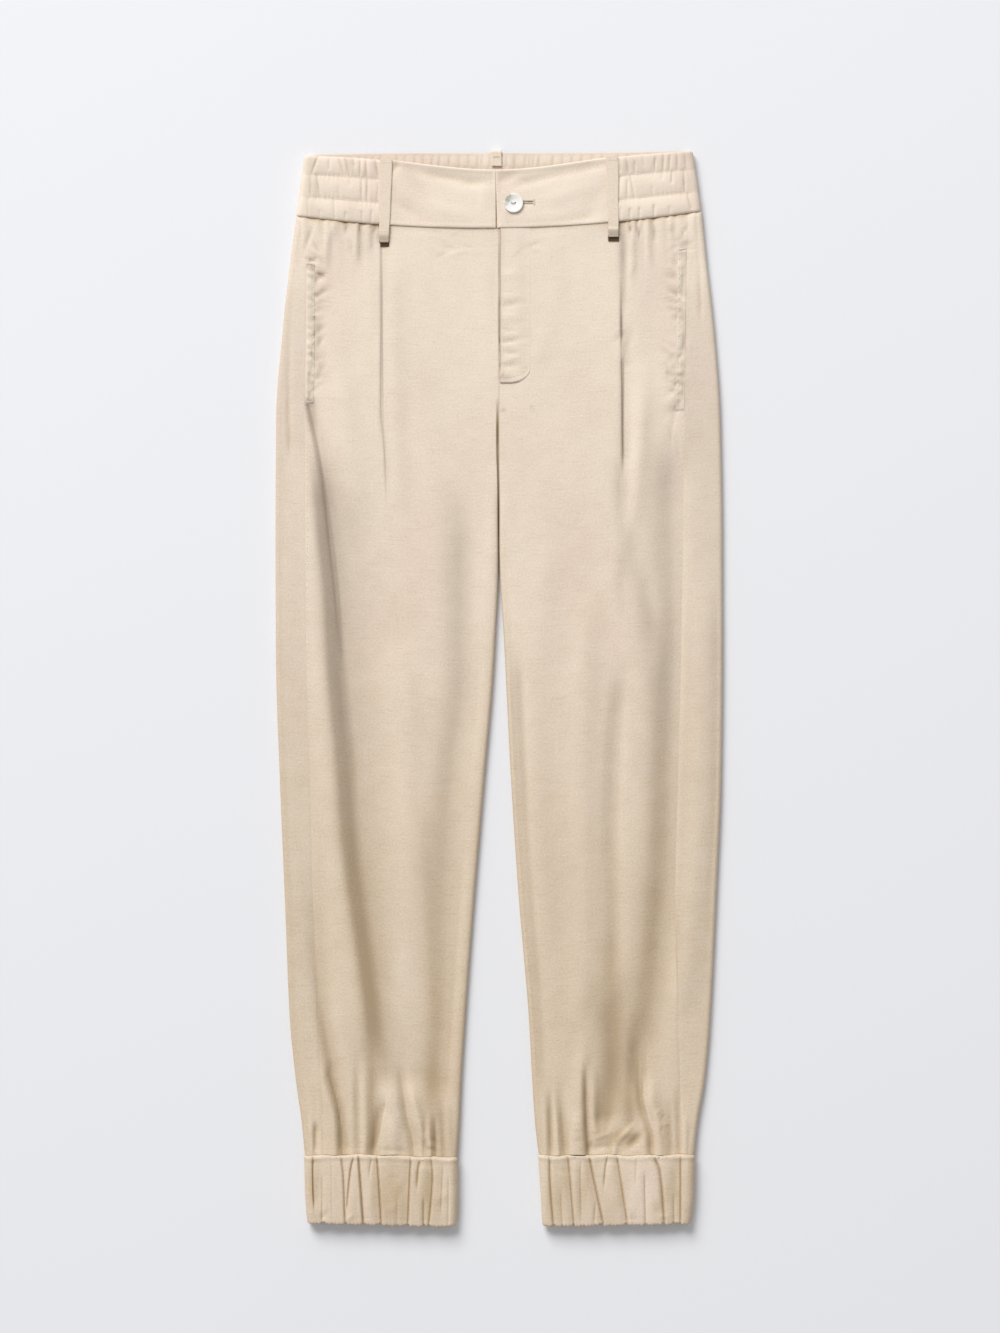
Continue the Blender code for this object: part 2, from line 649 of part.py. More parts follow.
def add_front_loop(side, linen):
    """Sewn at the band's upper edge, it runs down past the seam and folds under itself."""
    x = LOOP_TOP_X[side]
    half = LOOP_CLOTH / 2
    top_y = float(front_top_y(x)) - 0.3
    seam_y = float(front_seam_y(x))
    end_y = seam_y - LOOP_BELOW_SEAM
    band_z = BAND_HEIGHT + GAP + half
    under_z = 10.0 + GAP + half
    radius = 1.0
    route = [(top_y, band_z), (mix(top_y, seam_y, 0.5), band_z + 0.5), (seam_y + 7, band_z + 0.4)]
    route += [(seam_y + 1, under_z + 1.5), (end_y + 6, under_z + 2 * radius + 0.2)]
    route += turn_points(end_y + radius + half, under_z + radius, radius, 90, 270, 6)
    route += [(end_y + LOOP_FOLD, under_z)]
    ys = np.array([point[0] for point in route])
    xs = x + LOOP_LEAN[side] * (top_y - ys) / (top_y - end_y)
    return strap(f"belt_loop_{side}", route, xs, linen)


def add_back_loop(linen):
    """It comes over the band's upper edge on to the inside, and runs down between band and floor."""
    half = LOOP_CLOTH / 2
    top_y = LENGTH / 2 - half
    inside_z = BACK_LOOP_LIFT + ELASTIC_WALL + GAP + half
    route = [(top_y - BACK_LOOP_INSIDE, inside_z), (top_y - 3, inside_z)]
    route += turn_points(top_y - 1.4, inside_z - 1.4, 1.4, 90, 0, 4)
    route += turn_points(top_y - 1.4, half + 1.4, 1.4, 0, -90, 4)
    route += [(450, half), (BACK_SEAM, half), (BACK_SEAM - LOOP_BELOW_SEAM, half)]
    return strap("belt_loop_back", route, np.full(len(route), BACK_LOOP_X), linen)


def add_patch(name, side, columns, rows, gap, cloth, pucker, linen):
    """A flat piece on a front panel: columns(y) gives its distances from the centre line."""
    outer = []
    inner = []
    for index, y in enumerate(rows):
        xs = columns(y)
        ys = np.full_like(xs, y) if np.isscalar(y) else y
        below = front_top(side, xs, ys) + gap
        wave = pucker * (index % 2)
        outer.append(np.column_stack([sign_of(side) * xs, ys, below + cloth + wave]))
        inner.append(np.column_stack([sign_of(side) * xs, ys, below]))
    return add_wall(name, outer, inner, linen)


def add_pocket_edge(side, linen):
    """The turned and topstitched mouth of a side pocket, puckered by its stitching."""
    top = POCKET_TOP[side]
    foot = POCKET_FOOT[side]
    count = 2 * int((top - foot) / PUCKER_PITCH) + 1

    def columns(y):
        seam = float(smooth(LEGS[side], "seam", y))
        return np.linspace(seam - 0.6, seam - 0.6 - POCKET_EDGE_WIDTH, 3)

    rows = np.linspace(top, foot, count)
    return add_patch(f"pocket_edge_{side}", side, columns, rows, GAP, TRIM_CLOTH, PUCKER, linen)


def add_fly(linen):
    """The fly lies on the wearer's left front; its foot turns up in a J."""
    outer = []
    inner = []
    xs = np.array([0.5, 4.0, 8.5, 14.0, 19.5, 24.0, FLY_WIDTH - 0.6, FLY_WIDTH])
    across = np.clip((xs - 8.5) / (FLY_WIDTH - 8.5), 0, 1)
    foot = FLY_FOOT + FLY_TURN * (1 - np.sqrt(1 - across ** 2))
    for fraction in np.linspace(0, 1, 9):
        ys = mix(front_seam_y(xs) - GAP, foot, fraction)
        below = front_top("left", xs, ys) + GAP
        outer.append(np.column_stack([xs, ys, below + TRIM_CLOTH]))
        inner.append(np.column_stack([xs, ys, below]))
    return add_wall("fly_front", outer, inner, linen)


def add_zip(tape):
    """The closed zip behind the fly: one flat strip under the left front."""
    outer = []
    inner = []
    xs = np.linspace(3, 3 + ZIP_WIDTH, 4)
    for y in np.linspace(406, 406 - ZIP_LENGTH, 6):
        ys = np.full_like(xs, y)
        above = soft_top("left", xs, ys) - cloth_at(FRONT_CLOTH, ys) - GAP
        outer.append(np.column_stack([xs, ys, above]))
        inner.append(np.column_stack([xs, ys, above - 1.0]))
    return add_wall("zip", outer, inner, tape)


def crease_relief(side, x, fraction):
    """Puffs between the creases of a cuff, and the creases themselves."""
    total = np.full_like(x, 0.9)
    for crease in CUFF_CREASES[side]:
        centre = mix(crease.top, crease.hem, fraction)
        total -= crease.depth * np.exp(-((x - centre) / 2.6) ** 2)
    return total


def cuff_row(side, fraction, fine):
    """Once round a cuff: front from the outer side inwards, inner turn, back, outer turn."""
    sign = sign_of(side)
    y = mix(CUFF_SEAM - GAP / 2, CUFF_HEM, fraction)
    inner_x = float(smooth(CUFFS[side], "inner", y))
    outer_x = float(smooth(CUFFS[side], "outer", y))
    ends = min(fraction / 0.05, (1 - fraction) / 0.05, 1.0)
    round_off = 1.6 * (1 - ends)
    middle = CUFF_HEIGHT / 2
    low = inner_x + middle
    high = outer_x - middle
    front = [high, low]
    for crease in CUFF_CREASES[side]:
        centre = mix(crease.top, crease.hem, fraction)
        front += [centre - 2.8, centre, centre + 2.8]
    front = np.array(sorted((x for x in front if low <= x <= high), reverse=True))
    if not fine:
        front = np.linspace(high, low, 7)
    back = np.linspace(low, high, (2 * BACK_CREASES if fine else 6) + 1)
    turn = np.radians(np.linspace(90, -90, 7))[1:-1]
    if fine:
        clear = ease(front, low, low + 3) * (1 - ease(front, high - 3, high))
        top = CUFF_HEIGHT + crease_relief(side, front, fraction) * clear * (0.5 + 0.5 * ends) - round_off
        bottom = BACK_CREASE_DEPTH * (np.arange(len(back)) % 2) + round_off * 0.5
        radius = middle - round_off
    else:
        top = np.full_like(front, CUFF_HEIGHT - CUFF_WALL)
        bottom = np.full_like(back, CUFF_WALL)
        radius = middle - CUFF_WALL
    lift = radius * np.sin(turn)
    reach = radius * np.cos(turn)
    xs = np.concatenate([front, low - reach, back, high + reach[::-1]])
    zs = np.concatenate([top, middle + lift, bottom, middle + lift[::-1]])
    return np.column_stack([sign * xs, np.full_like(xs, y), zs])


def add_cuff(side, linen):
    outer = [cuff_row(side, fraction, True) for fraction in (0, 0.05, 0.35, 0.65, 0.95, 1)]
    inner = [cuff_row(side, fraction, False) for fraction in (0, 1)]
    return add_ring(f"cuff_{side}", outer, inner, linen)


def add_button(pearl):
    """Turned profile with a dished face and two holes."""
    bottom = BAND_HEIGHT + GAP
    profile = [(0, 0), (6.6, 0), (8.4, 0.7), (BUTTON_RADIUS, 1.5), (8.6, 2.3), (7.8, BUTTON_RIM)]
    profile += [(6.4, 2.4), (5.0, BUTTON_DISH), (0, BUTTON_DISH)]
    bm = bmesh.new()
    edge = [bm.verts.new((r * MM, 0, (bottom + z) * MM)) for r, z in profile]
    lines = [bm.edges.new(pair) for pair in zip(edge, edge[1:])]
    around = {"cent": (0, 0, 0), "axis": (0, 0, 1), "angle": 2 * math.pi}
    bmesh.ops.spin(bm, geom=edge + lines, steps=BUTTON_STEPS, **around)
    bmesh.ops.remove_doubles(bm, verts=bm.verts, dist=1e-6)
    bmesh.ops.translate(bm, verts=bm.verts, vec=(BUTTON_X * MM, BUTTON_Y * MM, 0))
    button = finish_mesh(bm, "button", pearl)
    for number, shift in enumerate((-BUTTON_HOLE_OFFSET, BUTTON_HOLE_OFFSET)):
        bm = bmesh.new()
        bmesh.ops.create_cone(bm, cap_ends=True, segments=HOLE_STEPS, radius1=BUTTON_HOLE_RADIUS * MM,
                              radius2=BUTTON_HOLE_RADIUS * MM, depth=HOLE_DEPTH * MM)
        bmesh.ops.translate(bm, verts=bm.verts, vec=((BUTTON_X + shift) * MM, BUTTON_Y * MM, bottom * MM))
        drill = finish_mesh(bm, f"button_drill_{number}", pearl)
        drill.hide_render = True
        drill.display_type = "WIRE"
        cut = button.modifiers.new("hole", "BOOLEAN")
        cut.operation = "DIFFERENCE"
        cut.object = drill
    return button


def add_button_thread(cotton):
    """One bridge of thread over the button, its ends going down through the slit to the underlap."""
    low = BAND_HEIGHT - BAND_WALL + 0.1
    high = BAND_HEIGHT + GAP + BUTTON_DISH + GAP + THREAD_RADIUS
    left = BUTTON_X - BUTTON_HOLE_OFFSET
    right = BUTTON_X + BUTTON_HOLE_OFFSET
    points = [(left, low), (left, high - 0.6), (left + 0.2, high - 0.15), (left + 0.65, high)]
    points += [(left + right - x, z) for x, z in reversed(points)]
    curve = bpy.data.curves.new("button_thread", "CURVE")
    curve.dimensions = "3D"
    curve.bevel_depth = THREAD_RADIUS * MM
    curve.bevel_resolution = 2
    curve.use_fill_caps = True
    line = curve.splines.new("POLY")
    line.points.add(len(points) - 1)
    for point, (x, z) in zip(line.points, points):
        point.co = (x * MM, BUTTON_Y * MM, z * MM, 1)
    curve.materials.append(cotton)
    thread = bpy.data.objects.new("button_thread", curve)
    bpy.context.scene.collection.objects.link(thread)
    return thread


def clear_scene():
    for item in list(bpy.data.objects):
        bpy.data.objects.remove(item, do_unlink=True)


def main():
    clear_scene()
    linen = make_material("linen", LINEN, 0.9)
    tape = make_material("zip_tape", LINEN_SHADE, 0.7)
    pearl = make_material("pearl", PEARL, 0.25)
    cotton = make_material("thread", THREAD, 0.8)
    for side in ("right", "left"):
        add_front_panel(side, linen)
        add_back_panel(side, linen)
        add_pocket_edge(side, linen)
        add_cuff(side, linen)
        add_front_loop(side, linen)
    add_waistband_back(linen)
    add_waistband_fronts(linen)
    add_back_loop(linen)
    add_fly(linen)
    add_zip(tape)
    add_button(pearl)
    add_button_thread(cotton)


main()
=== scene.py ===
import math

import bpy
import mathutils
import numpy as np
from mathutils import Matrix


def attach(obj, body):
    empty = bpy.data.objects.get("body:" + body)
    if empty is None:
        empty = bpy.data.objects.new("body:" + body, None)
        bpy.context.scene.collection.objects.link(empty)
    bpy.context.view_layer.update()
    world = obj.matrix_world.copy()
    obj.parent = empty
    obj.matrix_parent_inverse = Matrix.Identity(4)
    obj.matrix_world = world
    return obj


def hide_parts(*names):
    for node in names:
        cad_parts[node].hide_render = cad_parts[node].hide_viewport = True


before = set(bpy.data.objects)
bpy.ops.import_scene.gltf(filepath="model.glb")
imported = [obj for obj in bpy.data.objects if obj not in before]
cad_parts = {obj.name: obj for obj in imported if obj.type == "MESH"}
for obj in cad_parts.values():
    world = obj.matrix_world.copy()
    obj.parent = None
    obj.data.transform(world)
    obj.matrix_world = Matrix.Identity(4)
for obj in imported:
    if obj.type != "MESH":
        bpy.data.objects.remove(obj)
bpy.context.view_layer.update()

# Linen trousers laid flat. +X is the wearer's left, +Y is the waist end, z = 0 is what they lie on.
# Sizes are in millimetres until a mesh is written. In the leg tables x is the distance from the centre line.

mm = 0.001
chance = np.random.default_rng(11)
both = ("right", "left")    # the wearer's

form = {
    "gap": 0.16,
    "sideGap": 0.02,
    "waistSeam": 413.3,
    "seamTilt": 0.012,
    "frontSeamBow": 0.0004,
    "backSeam": 429.5,
    "backSeamBow": -0.00009,
    "bandTop": 482.2,
    "frontDip": 16.0,
    "frontDipWidth": 100.0,
    "bandHalf": 182.0,
    "bandTaper": 0.135,
    "cuffSeam": -418.4,
    "cuffHem": -484.0,
    "crotch": 167.0,
    "crotchBlend": 24.0,
    "pleatStep": 1.5,
    "pleatSpread": 26.0,
    "pleatEnd": 190.0,
    "backLoopLift": 1.7,
    "sideX": 178.0,      # where a row's height is read for its outer and its middle columns
    "guideX": 120.0,
}

legColumns = ("y", "outer", "seam", "fold", "pleat", "inner", "height")
legs = {
    "right": [
        (424, 182, 176.4, 150, 105.5, 0.04, 8.8), (385, 187.4, 173.6, 155, 105.3, 0.04, 7.6),
        (322, 194.4, 173.8, 160, 105, 0.04, 7.2), (242, 200.4, 174.6, 164, 104, 0.12, 7.2),
        (134, 201, 174, 155.5, 101, 0.2, 7.2), (26, 200.6, 173.2, 148, 92, 4.5, 7.3),
        (-82, 197.1, 170, 138.5, 84, 13.5, 7.4), (-190, 192.6, 167.6, 125.5, 79, 22.5, 7.4),
        (-298, 188.1, 163, 112.5, 78, 30.6, 7.6), (-352, 182.7, 160.4, 109, 78, 34, 8),
        (-390, 177.4, 159.4, 108, 78, 35.8, 8.8), (-420, 174.4, 159.3, 108, 78, 37.8, 9.8)],
    "left": [
        (424, 182.6, 169.2, 140, 109.6, 0.04, 8.8), (385, 186.4, 168.6, 140, 109.9, 0.04, 7.6),
        (322, 193.4, 168, 142, 110.2, 0.04, 7.2), (242, 199, 167, 146, 111.6, 0.12, 7.2),
        (134, 200.8, 165.5, 148, 109, 0.2, 7.2), (26, 201, 163.8, 150.5, 104, 5.4, 7.3),
        (-82, 199.8, 161, 143, 98, 10.8, 7.4), (-190, 195.3, 158.6, 145.5, 94, 18, 7.4),
        (-298, 189.9, 160.6, 130, 90, 27, 7.6), (-352, 185, 162.4, 129, 88, 29.9, 8),
        (-390, 178.6, 163.2, 131, 86, 32.4, 8.8), (-420, 175.2, 163.8, 133, 86, 35.8, 9.8)],
}


def ease(value, low, high):
    # 0 below low, 1 above high, and 3t squared less 2t cubed between them
    t = np.clip((np.asarray(value, float) - low) / (high - low), 0, 1)
    return t * t * (3 - 2 * t)


def mix(a, b, t):
    return a + (b - a) * t


def bell(distance, width):
    # e to the minus square of distance over width
    return np.exp(-(distance / width) ** 2)


def signOf(side):
    return -1.0 if side == "right" else 1.0


def curveThrough(knots, values, at):
    # a cubic through the knots that never overshoots: each slope is the harmonic mean of its neighbours
    order = np.argsort(knots)
    knots = np.asarray(knots, float)[order]
    values = np.asarray(values, float)[order]
    step = np.diff(knots)
    rate = np.diff(values) / step
    slopes = np.zeros(len(knots))
    sameWay = rate[:-1] * rate[1:] > 0
    safe = np.where(sameWay, rate[:-1] + rate[1:], 1.0)
    slopes[1:-1] = np.where(sameWay, 2 * rate[:-1] * rate[1:] / safe, 0.0)
    slopes[0] = rate[0]
    slopes[-1] = rate[-1]
    at = np.clip(np.asarray(at, float), knots[0], knots[-1])
    i = np.clip(np.searchsorted(knots, at) - 1, 0, len(step) - 1)
    t = (at - knots[i]) / step[i]
    start = (1 + 2 * t) * (1 - t) ** 2 * values[i] + t * (1 - t) ** 2 * step[i] * slopes[i]
    end = t * t * (3 - 2 * t) * values[i + 1] + t * t * (t - 1) * step[i] * slopes[i + 1]
    return start + end


def legValue(side, column, y):
    at = legColumns.index(column)
    return curveThrough([row[0] for row in legs[side]], [row[at] for row in legs[side]], y)


def frontSeamY(x):
    return form["waistSeam"] + form["seamTilt"] * x + form["frontSeamBow"] * x * x


def backSeamY(x):
    return form["backSeam"] + form["seamTilt"] * x + form["backSeamBow"] * x * x


def frontTopY(x):
    return form["bandTop"] + form["seamTilt"] * x - form["frontDip"] * bell(x, form["frontDipWidth"])


def backTopY(x):
    return form["bandTop"] + form["seamTilt"] * x * (x / form["bandHalf"]) ** 2


def cuffSeamY(x):
    # a small wave, stepped down over the inner part of the right cuff
    step = 2.0 * (1 - ease(-x, 68, 84)) * (x < 0)
    return form["cuffSeam"] - step + 0.45 * np.sin(x / 5.1 + 1) + 0.35 * np.sin(x / 11.3)


def backLift(x, y):
    # the cloth rises over the back belt loop, which lies between it and the ground
    return form["backLoopLift"] * (1 - ease(np.abs(x), 7.5, 20)) * ease(y, 385, 400)


def gatherWave(x, pitch):
    # a sine of x whose own phase wanders, from 0 to 1
    phase = 2 * math.pi * x / pitch
    return 0.5 + 0.5 * np.sin(phase + 0.9 * np.sin(0.37 * phase))


# fold: points from the waist end to the cuff end, widths towards the side and the centre, rise,
# and how far it fades in at its top and out at its foot
longFolds = {
    "right": [
        ([(172.5, 262), (162, 215), (152.8, 152), (144.5, 80), (139.5, 8)], 2.6, 8, -2.2, 8, 70),
        ([(154, 230), (146, 152), (138.5, 80), (135, 8), (127.7, -64), (123.3, -136), (114.1, -208),
          (104, -280), (98.5, -334), (97, -372)], 14, 36, -4.8, 110, 30),
        ([(175, 230), (167, 152), (159, 80), (155.5, 8), (148.2, -64), (143, -136), (133.8, -208),
          (123.5, -280), (118, -334)], 15, 8.5, 2.7, 60, 40),
        ([(33, 200), (31, 80), (31, 8), (39, -64), (45, -136), (46, -208), (46, -280), (50, -334),
          (52, -380)], 14, 14, -3, 90, 30),
        ([(88, 60), (86, -136), (86, -330)], 22, 16, 1.8, 80, 50),
        ([(172, -150), (160, -280), (150.5, -334), (144, -366)], 6, 13, -3, 100, 30),
        ([(151, -240), (138, -334), (131, -370)], 8, 9, 1.3, 60, 30),
        ([(148, 300), (138, 220), (130, 150)], 12, 14, 1.2, 40, 40),
        ([(105.7, 405), (105.6, 250), (102.6, 215), (100.4, 150)], 0.7, 7.5, -0.8, 90, 60),
        ([(88, 390), (84, 250), (80, 120)], 9, 13, -0.7, 40, 60),
        ([(190.5, 345), (190.4, 280), (189, 200)], 1.4, 3.4, -1.2, 22, 26),
        ([(137.5, 417), (135.5, 406)], 1.6, 1.8, -1, 2, 7),
        ([(125.2, 417), (125.4, 395), (124.5, 376)], 1, 7.5, -0.85, 2, 20),
        ([(130, 416), (130, 398), (131, 370)], 3, 3, 0.5, 3, 24),
        ([(133.5, 402), (133, 388)], 1.8, 2.6, -0.35, 8, 8),
        ([(113, 416), (113.5, 402), (114, 388)], 2.2, 2.2, -0.7, 3, 12),
        ([(150, 416), (156, 395), (158, 372)], 5, 5, 1, 3, 20),
        ([(165.2, -392), (165.6, -417)], 1.2, 4.2, -2.4, 6, 1),
        ([(169.2, -386), (169.4, -417)], 2.4, 1.8, 1, 8, 1),
        ([(153, -347), (149, -360), (144.2, -379), (142.2, -398), (141.8, -417)], 1.6, 9, -3.6, 16, 1),
        ([(158, -352), (152.8, -368), (148, -384), (146.8, -417)], 7, 2.6, 1.9, 24, 1),
        ([(128, -350), (127.8, -417)], 2.4, 3.6, -1.3, 26, 1),
        ([(121, -352), (120, -417)], 4, 5, 1.3, 26, 1),
        ([(103, -374), (105.6, -384), (108.9, -402), (112.8, -417)], 6, 1.4, -3, 14, 1),
        ([(104, -330), (99, -370), (98, -417)], 10, 9, 1.9, 34, 1),
        ([(87, -350), (82, -386), (77.2, -402), (75.6, -417)], 4.4, 4, -2.8, 26, 1),
        ([(82.5, -352), (74, -380), (66.5, -408)], 3.4, 5, 1.5, 22, 6),
        ([(62.5, -392), (61.5, -417)], 2, 2, 1.6, 16, 1),
        ([(57.6, -392), (56.6, -417)], 1.6, 2.4, -1.9, 14, 1),
        ([(67, -392), (66.4, -417)], 2, 2, -1.5, 14, 1),
        ([(51, -380), (49, -417)], 3.2, 3.2, -1.1, 24, 1),
        ([(46, -380), (44, -417)], 3, 3, 0.9, 20, 1)],
    "left": [
        ([(111, 215), (116, 152), (133, 80), (144, 20)], 10, 10, -1.3, 40, 40),
        ([(160, 240), (158, 152), (160, 80), (159, 8), (156, -64), (154.5, -136), (149, -208), (142, -280),
          (131, -334), (125, -372)], 16, 17, -4.2, 60, 30),
        ([(131, 300), (123, 190), (108, 100)], 9, 8, 1.6, 60, 60),
        ([(184, 118), (182, -90), (172, -220), (160, -300)], 12, 12, 2.2, 70, 40),
        ([(112, 30), (105.5, -64), (103.5, -136), (105, -208), (103, -270)], 7, 9, -2, 50, 40),
        ([(78, 100), (74, -64), (76, -208), (72, -320)], 12, 12, 1.4, 60, 50),
        ([(46, 150), (32, 20), (30, -100), (42, -260)], 14, 14, 0.9, 60, 50),
        ([(14, 40), (20, -90), (30, -250), (36, -370)], 8, 10, -1.9, 40, 40),
        ([(110.2, 385), (110.4, 310), (111, 270), (111.8, 190)], 8.5, 0.8, -2, 60, 26),
        ([(110.3, 318), (110.5, 290)], 8.5, 0.8, 1.3, 12, 12),
        ([(112.5, 417), (112.5, 380), (111.5, 330)], 4, 4.5, -0.6, 2, 50),
        ([(121, 417), (120, 392), (118, 350)], 4, 3.4, 0.8, 2, 34),
        ([(117.6, 417), (118.2, 408)], 1.4, 1.4, -1.3, 2, 6),
        ([(124.6, 417), (126.4, 404)], 1.2, 1.6, -1.2, 2, 8),
        ([(139, 417), (140, 408), (141, 398)], 2, 2.2, -0.7, 2, 10),
        ([(132.6, 417), (134, 395), (136, 372)], 3.2, 3.2, 0.5, 2, 20),
        ([(181, 416), (181.6, 323)], 1.2, 2.4, -1.3, 4, 24),
        ([(46.4, -370), (47.2, -417)], 1.6, 3.4, -2.2, 18, 1),
        ([(42, -385), (42.4, -417)], 2.6, 2.2, 0.9, 16, 1),
        ([(55.5, -368), (60.4, -417)], 4.2, 3.8, -2, 24, 1),
        ([(51.5, -384), (53, -417)], 2.6, 2.2, 1.2, 14, 1),
        ([(74.5, -330), (71.8, -375), (70.5, -417)], 6.5, 7.5, 2.3, 30, 1),
        ([(77.2, -352), (77.9, -386), (79.9, -417)], 4, 1.4, -3, 22, 1),
        ([(84.5, -335), (85, -380), (86, -405)], 4.5, 4.5, 1.2, 30, 10),
        ([(97, -250), (104, -334), (100, -370), (92, -398)], 9, 12, -3.6, 60, 16),
        ([(122, -290), (123, -350), (121, -400)], 10, 9, -2.6, 50, 12),
        ([(127.6, -335), (128.2, -366), (132.6, -387), (137, -402), (138, -417)], 1.4, 4, -2.6, 24, 1),
        ([(134.5, -335), (136.5, -372), (142, -390), (145, -417)], 6.5, 3, 1.9, 26, 1),
        ([(161.6, -370), (162.2, -417)], 1.8, 3.4, -1.6, 20, 1),
        ([(167.5, -390), (168, -417)], 2.2, 2.2, 1.2, 14, 1),
        ([(154, -380), (155.5, -417)], 3.6, 3.6, -1.1, 20, 1)],
}
loopLook = {
    "width": 11.0,
    "endWidth": 9.2,
    "backWidth": 9.4,
    "cloth": 1.2,
    "belowSeam": {"right": 16.0, "left": 13.6, "back": 14.0},
    "fold": 8.0,
    "foot": 3.3,
    "topX": {"right": -101.3, "left": 101.4},
    "lean": {"right": -2.0, "left": 1.6},
    "endX": 103.2,
    "backX": -2.2,
    "backInside": 13.5,
    "backDarkLine": 477.6,
    "tone": 0.1,
    "endShadowTone": 2.5,
    "endCloth": 0.3,
    "length": 484.0,
}

# flap: its upper and lower end, its two edges at each, its rise and how wide its edges are
flaps = {
    "left": [
        (-376, -417, 76.5, 67.5, 78, 62.5, 1.6, 3)],
}
# dent: place, direction in degrees from the X axis, half length, half width, rise
dents = {
    "right": [
        (171, 404, 110, 12, 2.2, -0.9), (166, 392, 35, 6, 1.4, 0.8), (165, 398, 60, 5, 1.3, -0.8),
        (161, 388, 70, 6, 1.6, -0.7), (170, 385, 20, 5, 1.3, -0.9), (168, 381, 15, 5, 1.2, 0.9),
        (160.5, 370, 140, 6, 2.6, -1.3), (158, 357, 160, 5, 2, -0.7), (162, 341, 150, 5, 2.2, -0.7),
        (161, 322, 140, 6, 2.6, -0.9), (160, 312, 120, 7, 2.4, -0.8), (163, 296, 150, 5, 2, -0.6),
        (162, 282, 120, 8, 2.6, -0.7), (166, 268, 140, 6, 2.2, -0.6), (150, 300, 95, 30, 10, 0.4),
        (140, 330, 85, 24, 12, 0.5), (120, 285, 60, 18, 6, 0.25), (146, 262, 30, 12, 4, 0.3),
        (61, -410, 20, 4, 1.6, 0.9), (62, -414, 10, 4.5, 1.1, -1), (59, -405, 35, 4, 1.4, -0.7),
        (158, -404, 80, 8, 2.5, -0.7), (93.5, -397, 88, 15, 11, 1.7), (95, -414, 4, 12, 2, -0.8),
        (86, -396, 62, 10, 4, -1), (134, -389, 88, 10, 2.2, 0.6), (172, -405, 84, 8, 1.6, -1.2),
        (170, -398, 80, 5, 1.4, 0.8), (104, -375, 70, 10, 4, -0.8), (45, 396, 10, 7, 1.8, -0.4),
        (38, 391, 165, 9, 1.6, 0.35), (28, 397, 20, 8, 1.6, -0.35), (52, 389, 150, 6, 1.5, -0.4),
        (20, 393, 5, 7, 1.4, 0.3), (47, -12.5, 1.5, 34, 1.3, 0.16)],
    "left": [
        (167, 411, 60, 6, 1.6, -0.68), (168, 407, 100, 6, 1.4, 0.52), (165, 402, 25, 6, 1.5, 0.6),
        (170, 399, 20, 6, 1.3, -0.75), (171, 395, 10, 6, 1.2, -0.68), (163, 392, 30, 5, 1.4, -0.45),
        (157, 396, 40, 6, 1.6, -0.38), (167, 374, 95, 10, 3.2, -0.52), (165, 352, 80, 8, 3, -0.45),
        (161, 336, 60, 6, 2, -0.45), (168, 330, 120, 6, 1.8, -0.52), (167, 312, 85, 9, 2.6, -0.6),
        (155, 308, 150, 8, 1.8, -0.45), (153, 300, 30, 7, 1.8, 0.38), (162, 296, 70, 7, 2, -0.6),
        (153, 287, 55, 5, 1.5, 0.6), (165, 280, 80, 9, 2.2, -0.68), (158, 272, 60, 7, 1.8, -0.6),
        (156, 262, 40, 8, 1.6, 0.52), (163, 258, 75, 9, 2.2, -0.75), (153, 252, 30, 6, 1.6, -0.38),
        (157, 240, 80, 12, 2.4, -0.52), (155, 225, 95, 10, 2.2, -0.38), (161, 214, 100, 12, 2.4, -0.38),
        (132, 395, 100, 16, 4, 0.4), (118, 318, 70, 14, 5, -0.5), (108, 316, 40, 7, 2, -0.7),
        (97, -392, 76, 9, 3.4, -1.2), (122, -406, 46, 10, 4.2, -2.6), (113, -400, 46, 11, 2.4, 1.9),
        (92, -402, 20, 9, 2.4, 1.2), (90, -412, 10, 10, 3, -1.4), (120, -336, 118, 9, 2, 1),
        (104, -415, 85, 5, 1.6, 1.4), (82, -412, 80, 5, 1.6, -1.6), (176, -404, 100, 8, 2, -0.9),
        (143, -380, 40, 3.5, 1.3, 0.8), (147, -385, 60, 3.5, 1.2, -0.7), (150, -391, 30, 3.5, 1.2, 0.8),
        (146, -396, 70, 4, 1.3, -0.7), (70, -406, 5, 6, 1.4, -0.6), (70, -395, 0, 6, 1.4, 0.4),
        (27, 398, 15, 7, 1.6, -0.3), (36, 394, 160, 9, 1.8, 0.3), (11, 345.6, 10, 9, 2.4, -0.6),
        (10, 312.8, 8, 10, 2.4, -1.1), (11, 302, -10, 9, 2, -0.7), (10, 290.5, 5, 9, 2.4, -0.7),
        (10, 372, 0, 9, 4, 0.45), (10, 352, 0, 9, 3, 0.45), (10, 334, 0, 9, 4, 0.6),
        (12, 297, 20, 8, 2, 0.5), (8, 322, 165, 8, 2, -0.4), (34, 300, 70, 30, 7, 0.4),
        (60, 340, 95, 40, 12, -0.35)],
}
# troughs in the underside, as dents
backDents = [
    (150, -20, 84, 170, 9, 2), (70, 330, 70, 90, 8, 1.2), (95, 40, 95, 150, 10, 1.3),
    (60, -150, 80, 120, 7, 1.1), (120, -270, 88, 90, 6, 1.5), (48, 180, 20, 40, 7, 1),
    (70, 150, 35, 45, 6, 1.1), (110, 130, 155, 40, 6, 0.9), (130, 380, 100, 40, 6, 1.1),
    (40, 390, 84, 30, 5, 0.9), (90, -360, 84, 50, 5, 1.3), (66, -372, 96, 44, 4, 1.2),
    (140, -370, 92, 46, 5, 1.2), (30, 60, 95, 90, 6, 1), (165, 200, 88, 80, 6, 1),
    (100, 240, 65, 60, 8, 0.9),
]


